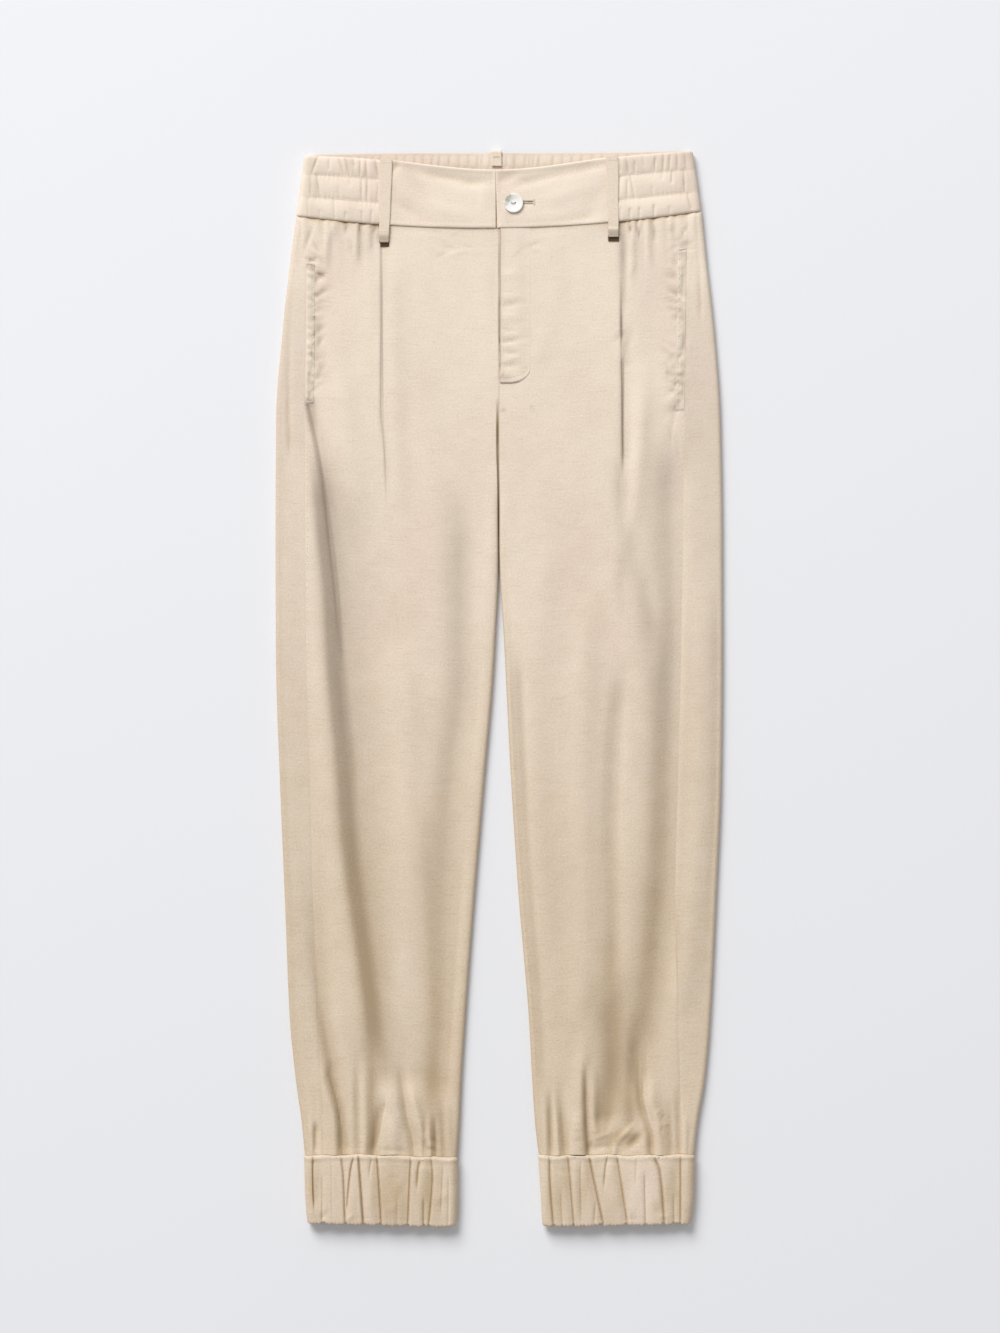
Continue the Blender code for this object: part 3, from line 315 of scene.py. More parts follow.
# soft shade in the hollows that the stitching pulls: a dent's first five numbers, in true x, and how dark
marks = [
    (-162.3, 373.3, -20, 2.9, 1.5, 1.1), (-158.2, 371.8, -12, 2.6, 1.2, 0.5),
    (-164.3, 354, -12, 2.8, 1.7, 0.6), (-166, 333.4, -25, 2.3, 1.3, 1.1), (-163.6, 326, 80, 5, 3.4, 0.42),
    (-166.1, 318.6, 88, 2.4, 1.2, 0.75), (-162.5, 314, 90, 7, 2.4, 0.4), (-167.2, 310, 60, 1.7, 1.3, 0.7),
    (-168.8, 302, 75, 1.7, 1.4, 0.6), (-162, 294, 88, 13, 4, 0.26), (-167.5, 246, 96, 14, 4.2, 0.42),
    (-171, 262.5, 70, 3.4, 1.3, 0.55), (-170.8, 281, 88, 10, 1, 0.35), (-172.6, 380, 60, 3, 1.1, 0.5),
    (-166, 386.5, 15, 4.5, 1, 0.5), (-170, 385, 70, 2.6, 1.1, 0.55), (-111.5, 413, 55, 4, 1.6, 0.75),
    (-109.4, 405.5, 85, 4.5, 1.3, 0.5), (-116, 398, 92, 17, 5.5, 0.16), (-133, 395, 88, 6, 1.6, 0.16),
    (-109.5, 345, 80, 30, 5, 0.12), (-106.2, 298, 89, 60, 1, 0.25), (-137, 415, 60, 3.5, 1.2, 0.6),
    (-125.3, 414, 88, 3.5, 1, 0.9), (-113.5, 415, 10, 4, 1, 0.6), (118, 413, 80, 4, 1.4, 0.7),
    (126, 409, 84, 5.5, 1.1, 0.75), (139.5, 411, 82, 5, 1.6, 0.32), (122, 399, 78, 8, 2.2, 0.14),
    (133, 352, 60, 20, 9, 0.08), (120.5, 375, 62, 7, 2, 0.22), (-56, 410.5, -8, 7, 1.2, 0.22),
    (-50, 402, 160, 6, 1.2, 0.2), (-40, 408, 30, 5, 1.2, 0.2), (30, 399, 28, 9, 1.6, 0.25),
    (16, 391, 45, 7, 1.6, 0.2), (-6, 366, 90, 18, 5, 0.1), (60, 300, 10, 30, 6, 0.06),
    (-60, 260, 100, 50, 12, 0.07), (111.5, 402, 90, 16, 3.6, 0.46), (112, 380, 91, 16, 2.6, 0.24),
    (111.4, 262, 89, 30, 0.9, 1.1), (114.5, 309, 90, 7.5, 4.4, 0.2), (117, 313, 45, 5, 2.4, 0.16),
    (164, 391, 14, 5.5, 1.4, 0.6), (163, 404, 20, 5, 2.6, 0.32), (165, 366, 80, 5.5, 2, 0.42),
    (163, 339, 84, 7, 2.8, 0.34), (165.6, 312, 88, 8, 1.5, 0.42), (151, 303, 150, 8, 2.6, 0.3),
    (151, 285, 80, 3.4, 1.3, 0.5), (165, 272, 88, 14, 1.1, 0.42), (157, 251, 22, 8, 2.4, 0.5),
    (160, 262, 75, 6, 2, 0.3), (178.8, 368, 91, 36, 1.6, 0.36), (6, 279, 2, 6.5, 2.8, 0.5),
    (3, 281.5, 60, 3.4, 1.4, 0.35), (3.6, 250, 16, 2.8, 1.2, 0.5), (154.8, 412.6, 80, 4, 2.6, 0.35),
    (167.9, 385.7, 84, 4.5, 1.5, 0.3), (163.5, 358.7, 88, 6, 3, 0.4), (166, 331.7, 88, 9, 4.5, 0.22),
    (163.5, 304.7, 84, 11, 4.8, 0.24), (162.5, 277.7, 92, 11, 4.2, 0.3), (172, 300, 88, 55, 6, 0.14),
    (110.8, 386, 90, 13, 3, 0.3), (112, 356, 90, 14, 2.2, 0.34), (109.9, 328, 90, 8, 1.1, 0.6),
    (113, 304, 90, 12, 3.6, 0.26), (29.2, 253.4, 42, 2.2, 0.9, 0.4), (31.9, 249.8, -8, 2.6, 0.9, 0.45),
    (23.7, 288.5, -6, 3.2, 0.8, 0.35),
]


# painted shade on stretches of the lower legs, and painted light where the last number is below 0: a dent's
# numbers, and how far the tone rises
legShading = [
    (-87, -300, 90, 90, 16, -0.26), (-93, -378, 90, 22, 5, -0.2), (107, -403, 2, 15, 7, 0.42),
    (120, -405, 52, 8, 4, 0.35), (115, -372, 100, 16, 6, 0.3), (126, -374, 90, 14, 4, 0.24),
    (88, -388, 92, 16, 4, 0.3),
]


def seamShade(x, y):
    # the seam between the legs sinks in, with painted shade along it, from below the fly down to where the
    # legs part
    strength = curveThrough((80, 128, 150, 172, 190, 206, 214, 224, 232, 244, 256, 262),
                            (0.0, 1.2, 1.8, 2.2, 2.2, 2.2, 2.0, 2.6, 2.6, 1.6, 0.8, 0.0), np.clip(y, 80, 262))
    middle = -1.5 + 0.9 * ease(216 - y, 0, 40)
    return strength * bell(x - middle, 0.8)


# pleat steps: the height up the leg and how strong the step is there
pleatSteps = {
    "right": [
        (420, 0.16), (392, 0.16), (376, 0.26), (355, 0.42), (330, 0.52), (270, 0.52), (225, 0.42),
        (150, 0.2)],
    "left": [
        (420, 0.12), (390, 0.08), (372, 0.12), (352, 0.3), (330, 0.55), (316, 0.2), (302, 0.16),
        (285, 0.55), (255, 0.62), (225, 0.4), (150, 0.2)],
}


def foldRelief(side, x, y):
    # sum of the folds: each is a bell across its own path, narrower on one side, and fades out at both ends
    total = np.zeros(np.broadcast(x, y).shape)
    for points, outward, inward, rise, fadeTop, fadeEnd in longFolds[side]:
        ys = [point[1] for point in points]
        path = curveThrough(ys, [point[0] for point in points], y)
        across = x - path
        width = np.where(across > 0, outward, inward)
        topEnd = max(ys)
        lowEnd = min(ys)
        along = (1 - ease(y, topEnd - fadeTop, topEnd + 1)) * ease(y, lowEnd - 1, lowEnd + fadeEnd)
        if topEnd > 400:
            along = ease(y, lowEnd - 1, lowEnd + fadeEnd)
        if lowEnd < -410:
            along = 1 - ease(y, topEnd - fadeTop, topEnd + fadeTop)
        total = total + rise * bell(across, width) * along
    return total


def flapRelief(side, x, y):
    # a raised patch between two slanting edges, fading in from its upper end
    total = np.zeros(np.broadcast(x, y).shape)
    for topY, lowY, outTop, inTop, outLow, inLow, rise, edge in flaps.get(side, []):
        t = np.clip((topY - y) / (topY - lowY), 0, 1)
        outerEdge = mix(outTop, outLow, t)
        innerEdge = mix(inTop, inLow, t)
        across = ease(x, innerEdge - edge, innerEdge + edge)
        across = across * (1 - ease(x, outerEdge - edge, outerEdge + edge))
        total = total + rise * across * ease(t, 0, 0.35)
    return total


def dentRelief(table, x, y):
    # each dent is a bell along its own direction times a narrower bell across it
    total = np.zeros(np.broadcast(x, y).shape)
    for centreX, centreY, degrees, longHalf, shortHalf, rise in table:
        turn = math.radians(degrees)
        along = (x - centreX) * math.cos(turn) + (y - centreY) * math.sin(turn)
        across = (y - centreY) * math.cos(turn) - (x - centreX) * math.sin(turn)
        total = total + rise * bell(along, longHalf) * bell(across, shortHalf)
    return total


def crumple(x, y):
    # slow sines in several directions, each one's phase bent by the next, about 1 in all
    a = np.sin(x / 17 + 1.7 * np.sin(y / 43 + 0.6))
    b = np.sin(y / 29 + 1.3 * np.sin(x / 31 - 1.1) + 0.4)
    c = np.sin((x + 0.7 * y) / 23 + 1.1 * np.sin((x - y) / 37))
    d = np.sin((x - 0.5 * y) / 9.5 + 1.4 * np.sin(y / 19 + 2.0))
    return 0.36 * a + 0.26 * b + 0.26 * c + 0.12 * d


puckers = {
    "right": {"centre": 163.0, "width": 7.0, "top": 404, "foot": 262, "rise": 0.55},
    "left": {"centre": 161.0, "width": 9.0, "top": 402, "foot": 236, "rise": 0.7},
}


def puckerField(side, x, y):
    # two slanting sines multiplied, their phases bent by slower ones, inside a tall soft band
    at = puckers[side]
    a = np.sin((0.80 * x + 0.60 * y) / 2.3 + 2.2 * np.sin(y / 9.0) + 1.3 * np.sin(x / 7.0))
    b = np.sin((0.45 * x - 0.90 * y) / 2.9 + 1.9 * np.sin(x / 6.0 + y / 13.0))
    c = 0.55 + 0.45 * np.sin(y / 14.0 + 1.2 * np.sin(x / 11.0))
    ends = ease(y, at["foot"], at["foot"] + 24) * (1 - ease(y, at["top"] - 14, at["top"]))
    return a * b * c * bell(x - at["centre"], at["width"]) * ends


def flyShade(x, y):
    # painted shade: a thin dark line on the right front where it runs in under the edge of the fly
    strength = curveThrough((280, 290, 305, 318, 335, 350, 362, 376, 390, 403),
                            (0.3, 0.35, 0.6, 1.1, 1.1, 0.9, 0.55, 0.85, 0.7, 0.3), np.clip(y, 280, 403))
    return strength * bell(x - 0.1, 0.8) * ease(y, 276, 284)


def pleatStrength(side, y):
    # how sharply the pleat steps: faint under the loop and, on the left, gone where a small facet covers it
    table = pleatSteps[side]
    return curveThrough([row[0] for row in table], [row[1] for row in table], y)


frontLook = {
    "crumple": 0.5,       # slow waves all over
    "waistPitch": 9.5,
    "bandDrop": 1.6,      # where the panel runs in under the gathered band
    "cuffPuff": 1.3,
    "cuffPitch": 13.0,
    "groove": 0.4,        # at the centre and along the side seam
}


def frontTop(side, x, y):
    # the soft form of the solid, its pleat and gathers, and the creases laid on it
    outer = legValue(side, "outer", y)
    inner = legValue(side, "inner", y)
    belowCrotch = 1 - ease(y, form["crotch"] - form["crotchBlend"], form["crotch"] + form["crotchBlend"])
    offSide = ease(outer - x, 3, 12)
    offCentre = 1 - belowCrotch * (1 - ease(x - inner, 4, 14))
    belowWaist = frontSeamY(signOf(side) * x) - y
    aboveCuff = y - form["cuffSeam"]
    beside = x - legValue(side, "pleat", y)
    step = ease(beside, -0.6, 0.6) * bell(np.maximum(beside, 0), form["pleatSpread"])
    pleated = form["pleatStep"] * step * ease(y, form["pleatEnd"], form["pleatEnd"] + 120)
    pleated = pleated * (1 - 0.6 * np.exp(-belowWaist / 14)) * pleatStrength(side, y)
    underElastic = ease(x, 106, 114) * np.exp(-belowWaist / 20)
    gathers = underElastic * gatherWave(x, frontLook["waistPitch"])
    drop = frontLook["bandDrop"] * np.exp(-np.maximum(belowWaist, 0) / 2.4)
    gathers = gathers - ease(x, 100, 106) * drop
    puff = 0.4 + 0.6 * gatherWave(x + 3, frontLook["cuffPitch"])
    puff = frontLook["cuffPuff"] * np.exp(-aboveCuff / 22) * puff
    relief = foldRelief(side, x, y) + flapRelief(side, x, y) + dentRelief(dents[side], x, y)
    relief = relief * np.where(relief < 0, mix(0.55, 1.0, ease(aboveCuff, 0, 9)), 1.0)
    calm = ease(belowWaist, 0, 10) * ease(aboveCuff, 0, 12)
    trueX = signOf(side) * x
    relief = relief + frontLook["crumple"] * crumple(trueX, y) * calm
    relief = relief + puckers[side]["rise"] * puckerField(side, x, y)
    centreGroove = -frontLook["groove"] * bell(x - 0.2, 1.6) * (1 - belowCrotch) - 0.5 * seamShade(trueX, y)
    seamGroove = -mix(frontLook["groove"], 0.05, ease(y, -300, 60)) * bell(x - legValue(side, "seam", y), 1.3)
    height = legValue(side, "height", y) + relief * offSide * offCentre
    height = height + pleated + gathers + puff * offSide * offCentre + centreGroove + seamGroove
    above = (height - legGrid["floor"]) / legGrid["floorBlend"]
    return legGrid["floor"] + legGrid["floorBlend"] * np.logaddexp(0, above)


def gridNormals(points, wrap=False):
    # the cross product of the steps along the rows and across them, at every point
    if wrap:
        padded = np.concatenate([points[:, -1:], points, points[:, :1]], axis=1)
        across = (padded[:, 2:] - padded[:, :-2]) / 2
    else:
        across = np.gradient(points, axis=1)
    normal = np.cross(np.gradient(points, axis=0), across)
    size = np.linalg.norm(normal, axis=2, keepdims=True)
    return normal / np.maximum(size, 1e-9)


def pointsAt(x, y, z):
    return np.stack(np.broadcast_arrays(x, y, z), axis=-1)


def edgeRound(distance, radius):
    # the height of a quarter circle at this distance from its end, as a share of its radius
    t = np.clip(distance / radius, 0, 1)
    return np.sqrt(np.maximum(1 - (1 - t) ** 2, 0))


def arcLength(points, axis):
    steps = np.linalg.norm(np.diff(points, axis=axis), axis=2)
    zero = np.zeros_like(np.take(steps, [0], axis=axis))
    return np.concatenate([zero, np.cumsum(steps, axis=axis)], axis=axis)


def rimEdges(corners, real):
    # the edges that only one face uses, as two arrays of corners
    a = corners.ravel()
    b = np.roll(corners, -1, axis=1).ravel()
    base = np.int64(real.max() + 1)
    lone = ~np.isin(real[a] * base + real[b], real[b] * base + real[a])
    return a[lone], b[lone]


def ringFaces(rings, around, flip=False):
    # the quads between closed rings, and the two faces that close the ends
    grid = np.arange(rings * around).reshape(rings, around)
    beside = np.roll(grid, -1, axis=1)
    corners = [grid[:-1], beside[:-1], beside[1:], grid[1:]]
    ends = [grid[0, ::-1], grid[-1]]
    if flip:
        corners = [corners[0], corners[3], corners[2], corners[1]]
        ends = [grid[0], grid[-1, ::-1]]
    return np.stack(corners, axis=-1).reshape(-1, 4), np.stack(ends)


def newPiece(name, points, faces, material):
    # points are in millimetres
    mesh = bpy.data.meshes.new(name)
    mesh.from_pydata((points * mm).tolist(), [], faces)
    mesh.shade_smooth()
    mesh.materials.append(material)
    piece = bpy.data.objects.new(name, mesh)
    bpy.context.scene.collection.objects.link(piece)
    return piece


def settle(piece, node=None):
    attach(piece, "root")
    if node:
        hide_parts(node)


def keepValues(mesh, label, values):
    # one number for each point, which the materials read
    attribute = mesh.attributes.new(label, "FLOAT", "POINT")
    attribute.data.foreach_set("value", values.ravel().astype(np.float32))


def addCloth(name, node, outer, inner, tone, dusk=0.0, wrap=False, hole=None):
    # outer and inner are grids of points, rows by columns; the two sheets are joined at every free edge
    rows, cols = outer.shape[:2]
    wide = cols + 1 if wrap else cols
    row, col = np.meshgrid(np.arange(rows), np.arange(wide), indexing="ij")
    real = (row * cols + col % cols).ravel()
    index = np.arange(rows * wide).reshape(rows, wide)
    quads = np.stack([index[:-1, :-1], index[:-1, 1:], index[1:, 1:], index[1:, :-1]], axis=-1)
    keep = np.ones(quads.shape[:2], bool)
    if hole:
        keep[hole[0]:hole[1], hole[2]:hole[3]] = False
    corners = quads[keep]
    middle = (outer + inner) / 2
    facing = np.einsum("ijk,ijk->ij", gridNormals(outer, wrap), outer - middle).mean()
    if facing > 0:
        corners = corners[:, ::-1]
    a, b = rimEdges(corners, real)
    count = rows * cols
    rim = np.stack([real[b], real[a], real[a] + count, real[b] + count], axis=-1)
    faces = np.concatenate([real[corners], real[corners[:, ::-1]] + count, rim]).tolist()
    loops = np.concatenate([corners, corners[:, ::-1], np.stack([b, a, a, b], axis=-1)])
    full = np.concatenate([outer, outer[:, :1]], axis=1) if wrap else outer
    across = arcLength(full, 1)
    uv = np.stack([across - across[:, -1:] / 2, arcLength(full, 0)], axis=-1).reshape(-1, 2) * mm
    piece = newPiece(name, np.concatenate([outer.reshape(-1, 3), inner.reshape(-1, 3)]), faces, linen)
    piece.data.uv_layers.new(name="clothUV").data.foreach_set("uv", uv[loops.ravel()].ravel())
    for label, values in (("tone", tone), ("dusk", dusk)):
        keepValues(piece.data, label, np.tile(np.broadcast_to(values, (rows, cols)).ravel(), 2))
    piece.data.set_sharp_from_angle(angle=math.radians(weaveLook["sharpAngle"]))
    settle(piece, node)


def hollowShade(points, reach=3):
    # how far each point lies below the mean of its neighbours, as 0 to 1, which paints shade into hollows
    z = points[..., 2]
    mean = np.zeros_like(z)
    padded = np.pad(z, reach, mode="edge")
    span = 2 * reach + 1
    for i in range(span):
        for j in range(span):
            mean += padded[i:i + z.shape[0], j:j + z.shape[1]]
    return np.clip((mean / span ** 2 - z) / 0.9, 0, 1)


def lengthTone(y):
    # darker and yellower towards the cuffs
    return curveThrough((-480, -245, -65, 115, 300, 420), (0.50, 0.45, 0.32, 0.15, 0.05, 0.0), y)


class Sheet:
    # a short way to place and join nodes
    def __init__(self, tree):
        self.tree = tree

    def feed(self, node, values):
        for socket, value in values.items():
            if isinstance(value, bpy.types.NodeSocket):
                self.tree.links.new(value, node.inputs[socket])
            else:
                node.inputs[socket].default_value = value

    def add(self, kind, values=None, **settings):
        node = self.tree.nodes.new(kind)
        for key, value in settings.items():
            setattr(node, key, value)
        self.feed(node, values or {})
        return node

    def place(self):
        return self.add("ShaderNodeTexCoord").outputs["Object"]

    def read(self, label):
        return self.add("ShaderNodeAttribute", attribute_name=label).outputs["Fac"]

    def math(self, operation, a, b=0.0, clamp=False):
        return self.add("ShaderNodeMath", {0: a, 1: b}, operation=operation, use_clamp=clamp).outputs[0]

    def vector(self, operation, a, b):
        second = 3 if operation == "SCALE" else 1
        return self.add("ShaderNodeVectorMath", {0: a, second: b}, operation=operation)

    def remap(self, value, low, high, toLow, toHigh):
        ranges = {0: value, 1: low, 2: high, 3: toLow, 4: toHigh}
        return self.add("ShaderNodeMapRange", ranges).outputs[0]

    def noise(self, place, scale, detail=2.0, stretch=(1, 1, 1)):
        spread = self.vector("MULTIPLY", place, stretch).outputs[0]
        return self.add("ShaderNodeTexNoise", {"Vector": spread, "Scale": scale, "Detail": detail}).outputs[0]

    def blend(self, factor, a, b, how="MIX"):
        a, b = [(*each, 1) if isinstance(each, tuple) else each for each in (a, b)]
        node = self.add("ShaderNodeMix", {0: factor, 6: a, 7: b}, data_type="RGBA", blend_type=how)
        return node.outputs[2]

    def bump(self, height, distance, strength):
        values = {"Height": height, "Distance": distance, "Strength": strength}
        return self.add("ShaderNodeBump", values).outputs[0]


def newMaterial(name):
    material = bpy.data.materials.new(name)
    material.use_nodes = True
    return material, Sheet(material.node_tree), material.node_tree.nodes["Principled BSDF"]


weaveLook = {
    "threadsPerMetre": 1500.0,
    "colour": (0.835, 0.722, 0.602),
    # shade, deep and dusk are painted shade: shade is the colour at full tone, deep the painted shadow past
    # it, dusk a neutral dimming; the tone also darkens the cloth towards the cuffs
    "shade": (0.550, 0.422, 0.272),    # at full tone
    "blush": (0.805, 0.665, 0.560),    # the warmer patches
    "deep": (0.085, 0.056, 0.026),     # at twice full tone and more
    "dusk": (0.56, 0.535, 0.515),      # what full dusk multiplies the colour by
    "slubs": 0.8,
    "slubScale": (52, 760, 1),         # along and across the weft threads
    "warpScale": (760, 40, 1),
    "wobble": 0.0011,                  # how far the threads wander, in metres
    "clouds": {"patches": 11.0, "mottle": 62.0, "grain": 540.0},
    "bumpHeight": 0.00022,
    "bumpStrength": 0.55,
    "sheen": 0.06,
    "specular": 0.25,
    "sharpAngle": 58,
}
colourNames = ("Colour", "Shade", "Blush", "Deep")


def makeWeaveGroup():
    # plain weave: the product of two sines across the threads, with thick threads and slow colour changes;
    # Tone and Dusk carry painted shade, and Tone above 1 painted deep shadow
    group = bpy.data.node_groups.new("weave", "ShaderNodeTree")
    kinds = {"Place": "Vector", "Threads": "Float", "Slubs": "Float", "Tone": "Float", "Dusk": "Float"}
    kinds.update({label: "Color" for label in colourNames})
    for label, kind in kinds.items():
        group.interface.new_socket(label, in_out="INPUT", socket_type=f"NodeSocket{kind}")
    for label, kind in (("Colour", "Color"), ("Roughness", "Float"), ("Height", "Float")):
        group.interface.new_socket(label, in_out="OUTPUT", socket_type=f"NodeSocket{kind}")
    sheet = Sheet(group)
    given = group.nodes.new("NodeGroupInput").outputs
    wobble = sheet.noise(given["Place"], 210.0)
    bend = sheet.math("MULTIPLY", sheet.math("SUBTRACT", wobble, 0.5), weaveLook["wobble"])
    parts = sheet.add("ShaderNodeSeparateXYZ", {0: given["Place"]}).outputs
    u = sheet.math("ADD", parts[0], bend)
    v = sheet.math("SUBTRACT", parts[1], bend)
    turns = sheet.math("MULTIPLY", given["Threads"], math.pi)
    a, b = [sheet.math("SINE", sheet.math("MULTIPLY", each, turns)) for each in (u, v)]
    bump = sheet.math("POWER", sheet.math("ABSOLUTE", sheet.math("MULTIPLY", a, b)), 0.5)
    flat = sheet.add("ShaderNodeCombineXYZ", {0: u, 1: v}).outputs[0]
    weft = sheet.noise(flat, 1.0, 2.0, weaveLook["slubScale"])
    warp = sheet.noise(flat, 1.0, 2.0, weaveLook["warpScale"])
    weftSlub = sheet.remap(weft, 0.60, 0.74, 0.0, 1.0)
    warpSlub = sheet.remap(warp, 0.62, 0.76, 0.0, 1.0)
    thick = sheet.math("MULTIPLY", sheet.math("MAXIMUM", weftSlub, warpSlub), given["Slubs"])
    thin = sheet.math("MULTIPLY", sheet.remap(weft, 0.30, 0.42, 1.0, 0.0), given["Slubs"])
    patches = sheet.noise(flat, weaveLook["clouds"]["patches"], 3.0)
    mottle = sheet.noise(flat, weaveLook["clouds"]["mottle"])
    grain = sheet.noise(flat, weaveLook["clouds"]["grain"])
    crinkle = sheet.noise(flat, 1.0, 3.0, (150, 95, 1))
    # the tone adds to the weave's own darkness; it carries painted shade and the darkening down the leg
    dark = sheet.math("ADD", sheet.math("MULTIPLY", sheet.math("SUBTRACT", 1.0, bump), 0.13), given["Tone"])
    dark = sheet.math("ADD", dark, sheet.math("MULTIPLY", thin, 0.20))
    for cloud, low, high in ((patches, -0.05, 0.06), (mottle, -0.05, 0.05), (grain, -0.14, 0.14)):
        dark = sheet.math("ADD", dark, sheet.remap(cloud, 0.3, 0.7, low, high))
    dark = sheet.math("SUBTRACT", dark, sheet.math("MULTIPLY", thick, 0.16), clamp=True)
    warm = sheet.remap(sheet.noise(flat, 1.0, 1.0, (9, 5, 1)), 0.42, 0.66, 0.0, 0.8)
    colour = sheet.blend(dark, sheet.blend(warm, given["Colour"], given["Blush"]), given["Shade"])
    # dusk dims the colour as painted neutral shade, and tone from 1 to 2.2 mixes in deep painted shadow
    dimmed = sheet.blend(1.0, colour, weaveLook["dusk"], "MULTIPLY")
    colour = sheet.blend(sheet.math("ADD", given["Dusk"], 0.0, clamp=True), colour, dimmed)
    colour = sheet.blend(sheet.remap(given["Tone"], 1.0, 2.2, 0.0, 1.0), colour, given["Deep"])
    height = sheet.math("MULTIPLY", bump, 0.45)
    for part, share in ((thick, 0.6), (grain, 0.9), (crinkle, 1.5)):
        height = sheet.math("ADD", height, sheet.math("MULTIPLY", part, share))
    rough = sheet.remap(bump, 0.0, 1.0, 0.96, 0.84)
    sheet.feed(group.nodes.new("NodeGroupOutput"), {"Colour": colour, "Roughness": rough, "Height": height})
    return group


def makeLinen(weave):
    # the weave over the cloth's own lengths, darker by each point's tone and dusk, which carry painted shade
    material, sheet, shader = newMaterial("linen")
    place = sheet.add("ShaderNodeUVMap", uv_map="clothUV").outputs[0]
    values = {"Place": place, "Threads": weaveLook["threadsPerMetre"], "Slubs": weaveLook["slubs"],
              "Tone": sheet.read("tone"), "Dusk": sheet.read("dusk")}
    values.update({label: (*weaveLook[label.lower()], 1) for label in colourNames})
    cloth = sheet.add("ShaderNodeGroup", values, node_tree=weave).outputs
    bump = sheet.bump(cloth["Height"], weaveLook["bumpHeight"], weaveLook["bumpStrength"])
    sheet.feed(shader, {"Base Color": cloth["Colour"], "Roughness": cloth["Roughness"], "Normal": bump,
                        "Sheen Weight": weaveLook["sheen"], "Specular IOR Level": weaveLook["specular"]})
    return material


linen = makeLinen(makeWeaveGroup())

legGrid = {
    "rows": 300,
    "crowding": 0.45,      # how much closer the rows lie at both ends
    "hip": 26,             # columns, from the side seam to the inner edge
    "foldBand": 12,
    "thigh": 30,
    "pleatBand": 14,
    "centre": 40,
    "bend": 6,
    "cloth": 0.6,
    "floor": 2.9,          # no crease reaches lower
    "floorBlend": 0.35,
}


def legFractions(rows):
    # even steps made closer at both ends by a sine
    t = np.linspace(0, 1, rows)
    return t - legGrid["crowding"] * np.sin(2 * math.pi * t) / (2 * math.pi)


def rowY(seamY, x, fraction):
    half = form["gap"] / 2
    return mix(seamY(x) - half, cuffSeamY(x) + half, fraction)


def innerBend(half, amount, count):
    # a quarter turn at the leg's inner edge: steps sideways and drops
    strip = half * math.pi / 2
    angle = np.maximum(amount, 0.001) * math.pi / 2
    turns = np.linspace(0, 1, count + 1)[None, 1:] * (angle * (1 - form["gap"] / 2 / strip))[:, None]
    reach = (strip / angle)[:, None]
    return reach * np.sin(turns), reach * (1 - np.cos(turns))


def legEdges(side, fraction, seamY):
    # each column of the leg table at every row, and how far the inner edge turns down there
    sign = signOf(side)
    atSide = rowY(frontSeamY, sign * form["sideX"], fraction)
    atGuide = rowY(frontSeamY, sign * form["guideX"], fraction)
    atCentre = rowY(seamY, 0.0, fraction)
    edges = {name: legValue(side, name, atSide) for name in ("outer", "seam", "height")}
    edges.update({name: legValue(side, name, atGuide) for name in ("fold", "pleat")})
    edges["inner"] = legValue(side, "inner", atCentre)
    edges["half"] = legValue(side, "height", atCentre) / 2
    low = form["crotch"] - form["crotchBlend"]
    edges["bend"] = 1 - ease(atCentre, low, low + 2 * form["crotchBlend"])
    return edges


def spread(a, b, count, last=False):
    # count steps from a to b on every row
    t = np.linspace(0, 1, count + 1)[None, :]
    t = t if last else t[:, :-1]
    return a[:, None] + (b - a)[:, None] * t


# soft shade along a fold: points down the leg, reach towards the side and towards the centre, how deep
foldShades = {
    "right": [
        ([(161, 200), (157.5, 116), (154, 44), (147, -28), (142, -100), (137, -145), (131, -190),
          (124, -235), (119, -280), (113.5, -325)], 8, 16, 0.42),
        ([(116.5, -330), (114.3, -352), (114.5, -380), (113, -440)], 5, 6, 0.58),
        ([(64, -340), (58, -385), (53, -440)], 11, 12, 0.46),
        ([(68, -120), (63, -200), (59, -280), (60, -370)], 6, 8, 0.2)],
    "left": [
        ([(150, 60), (144, -28), (141, -100), (138, -190), (134, -235), (128, -280), (122, -330)],
          12, 8, 0.26),
        ([(100, -240), (104, -300), (104, -350), (98, -392)], 12, 10, 0.55),
        ([(109.5, 240), (109.5, 150), (108, 80)], 6, 5, 0.24),
        ([(131, 150), (132, 60), (136, -10)], 9, 8, 0.16)],
}


def foldShade(side, x, y):
    # a bell across each path, wider on one side, fading over 60 mm at both ends
    total = np.zeros(np.broadcast(x, y).shape)
    for points, outward, inward, deep in foldShades[side]:
        ys = [point[1] for point in points]
        across = x - curveThrough(ys, [point[0] for point in points], y)
        ends = ease(y, min(ys) - 30, min(ys) + 30) * (1 - ease(y, max(ys) - 30, max(ys) + 30))
        total = total + deep * bell(across, np.where(across > 0, outward, inward)) * ends
    return total


def sunkShade(side, x, y, extra):
    # painted shade: the folds are darkened by their depth over 6, and their right-hand walls, which face away
    # from the light, by the slope over 0.42
    depth = np.clip(-foldRelief(side, x, y) / 6, 0, 1)
    rise = signOf(side) * (foldRelief(side, x + 2, y) - foldRelief(side, x - 2, y)) / 4
    wall = np.clip(-rise / 0.42, 0, 1)
    return np.pad(0.4 * depth + 0.45 * wall, ((0, 0), (0, extra)))


def wallShade(points, wrap=False):
    # painted shade: cloth that faces right, away from the light, is darkened by the sideways part of its
    # normal over 0.5
    normal = gridNormals(points, wrap)
    normal = normal * np.sign(normal[..., 2:])
    return np.clip(normal[..., 0] / 0.5, 0, 1)


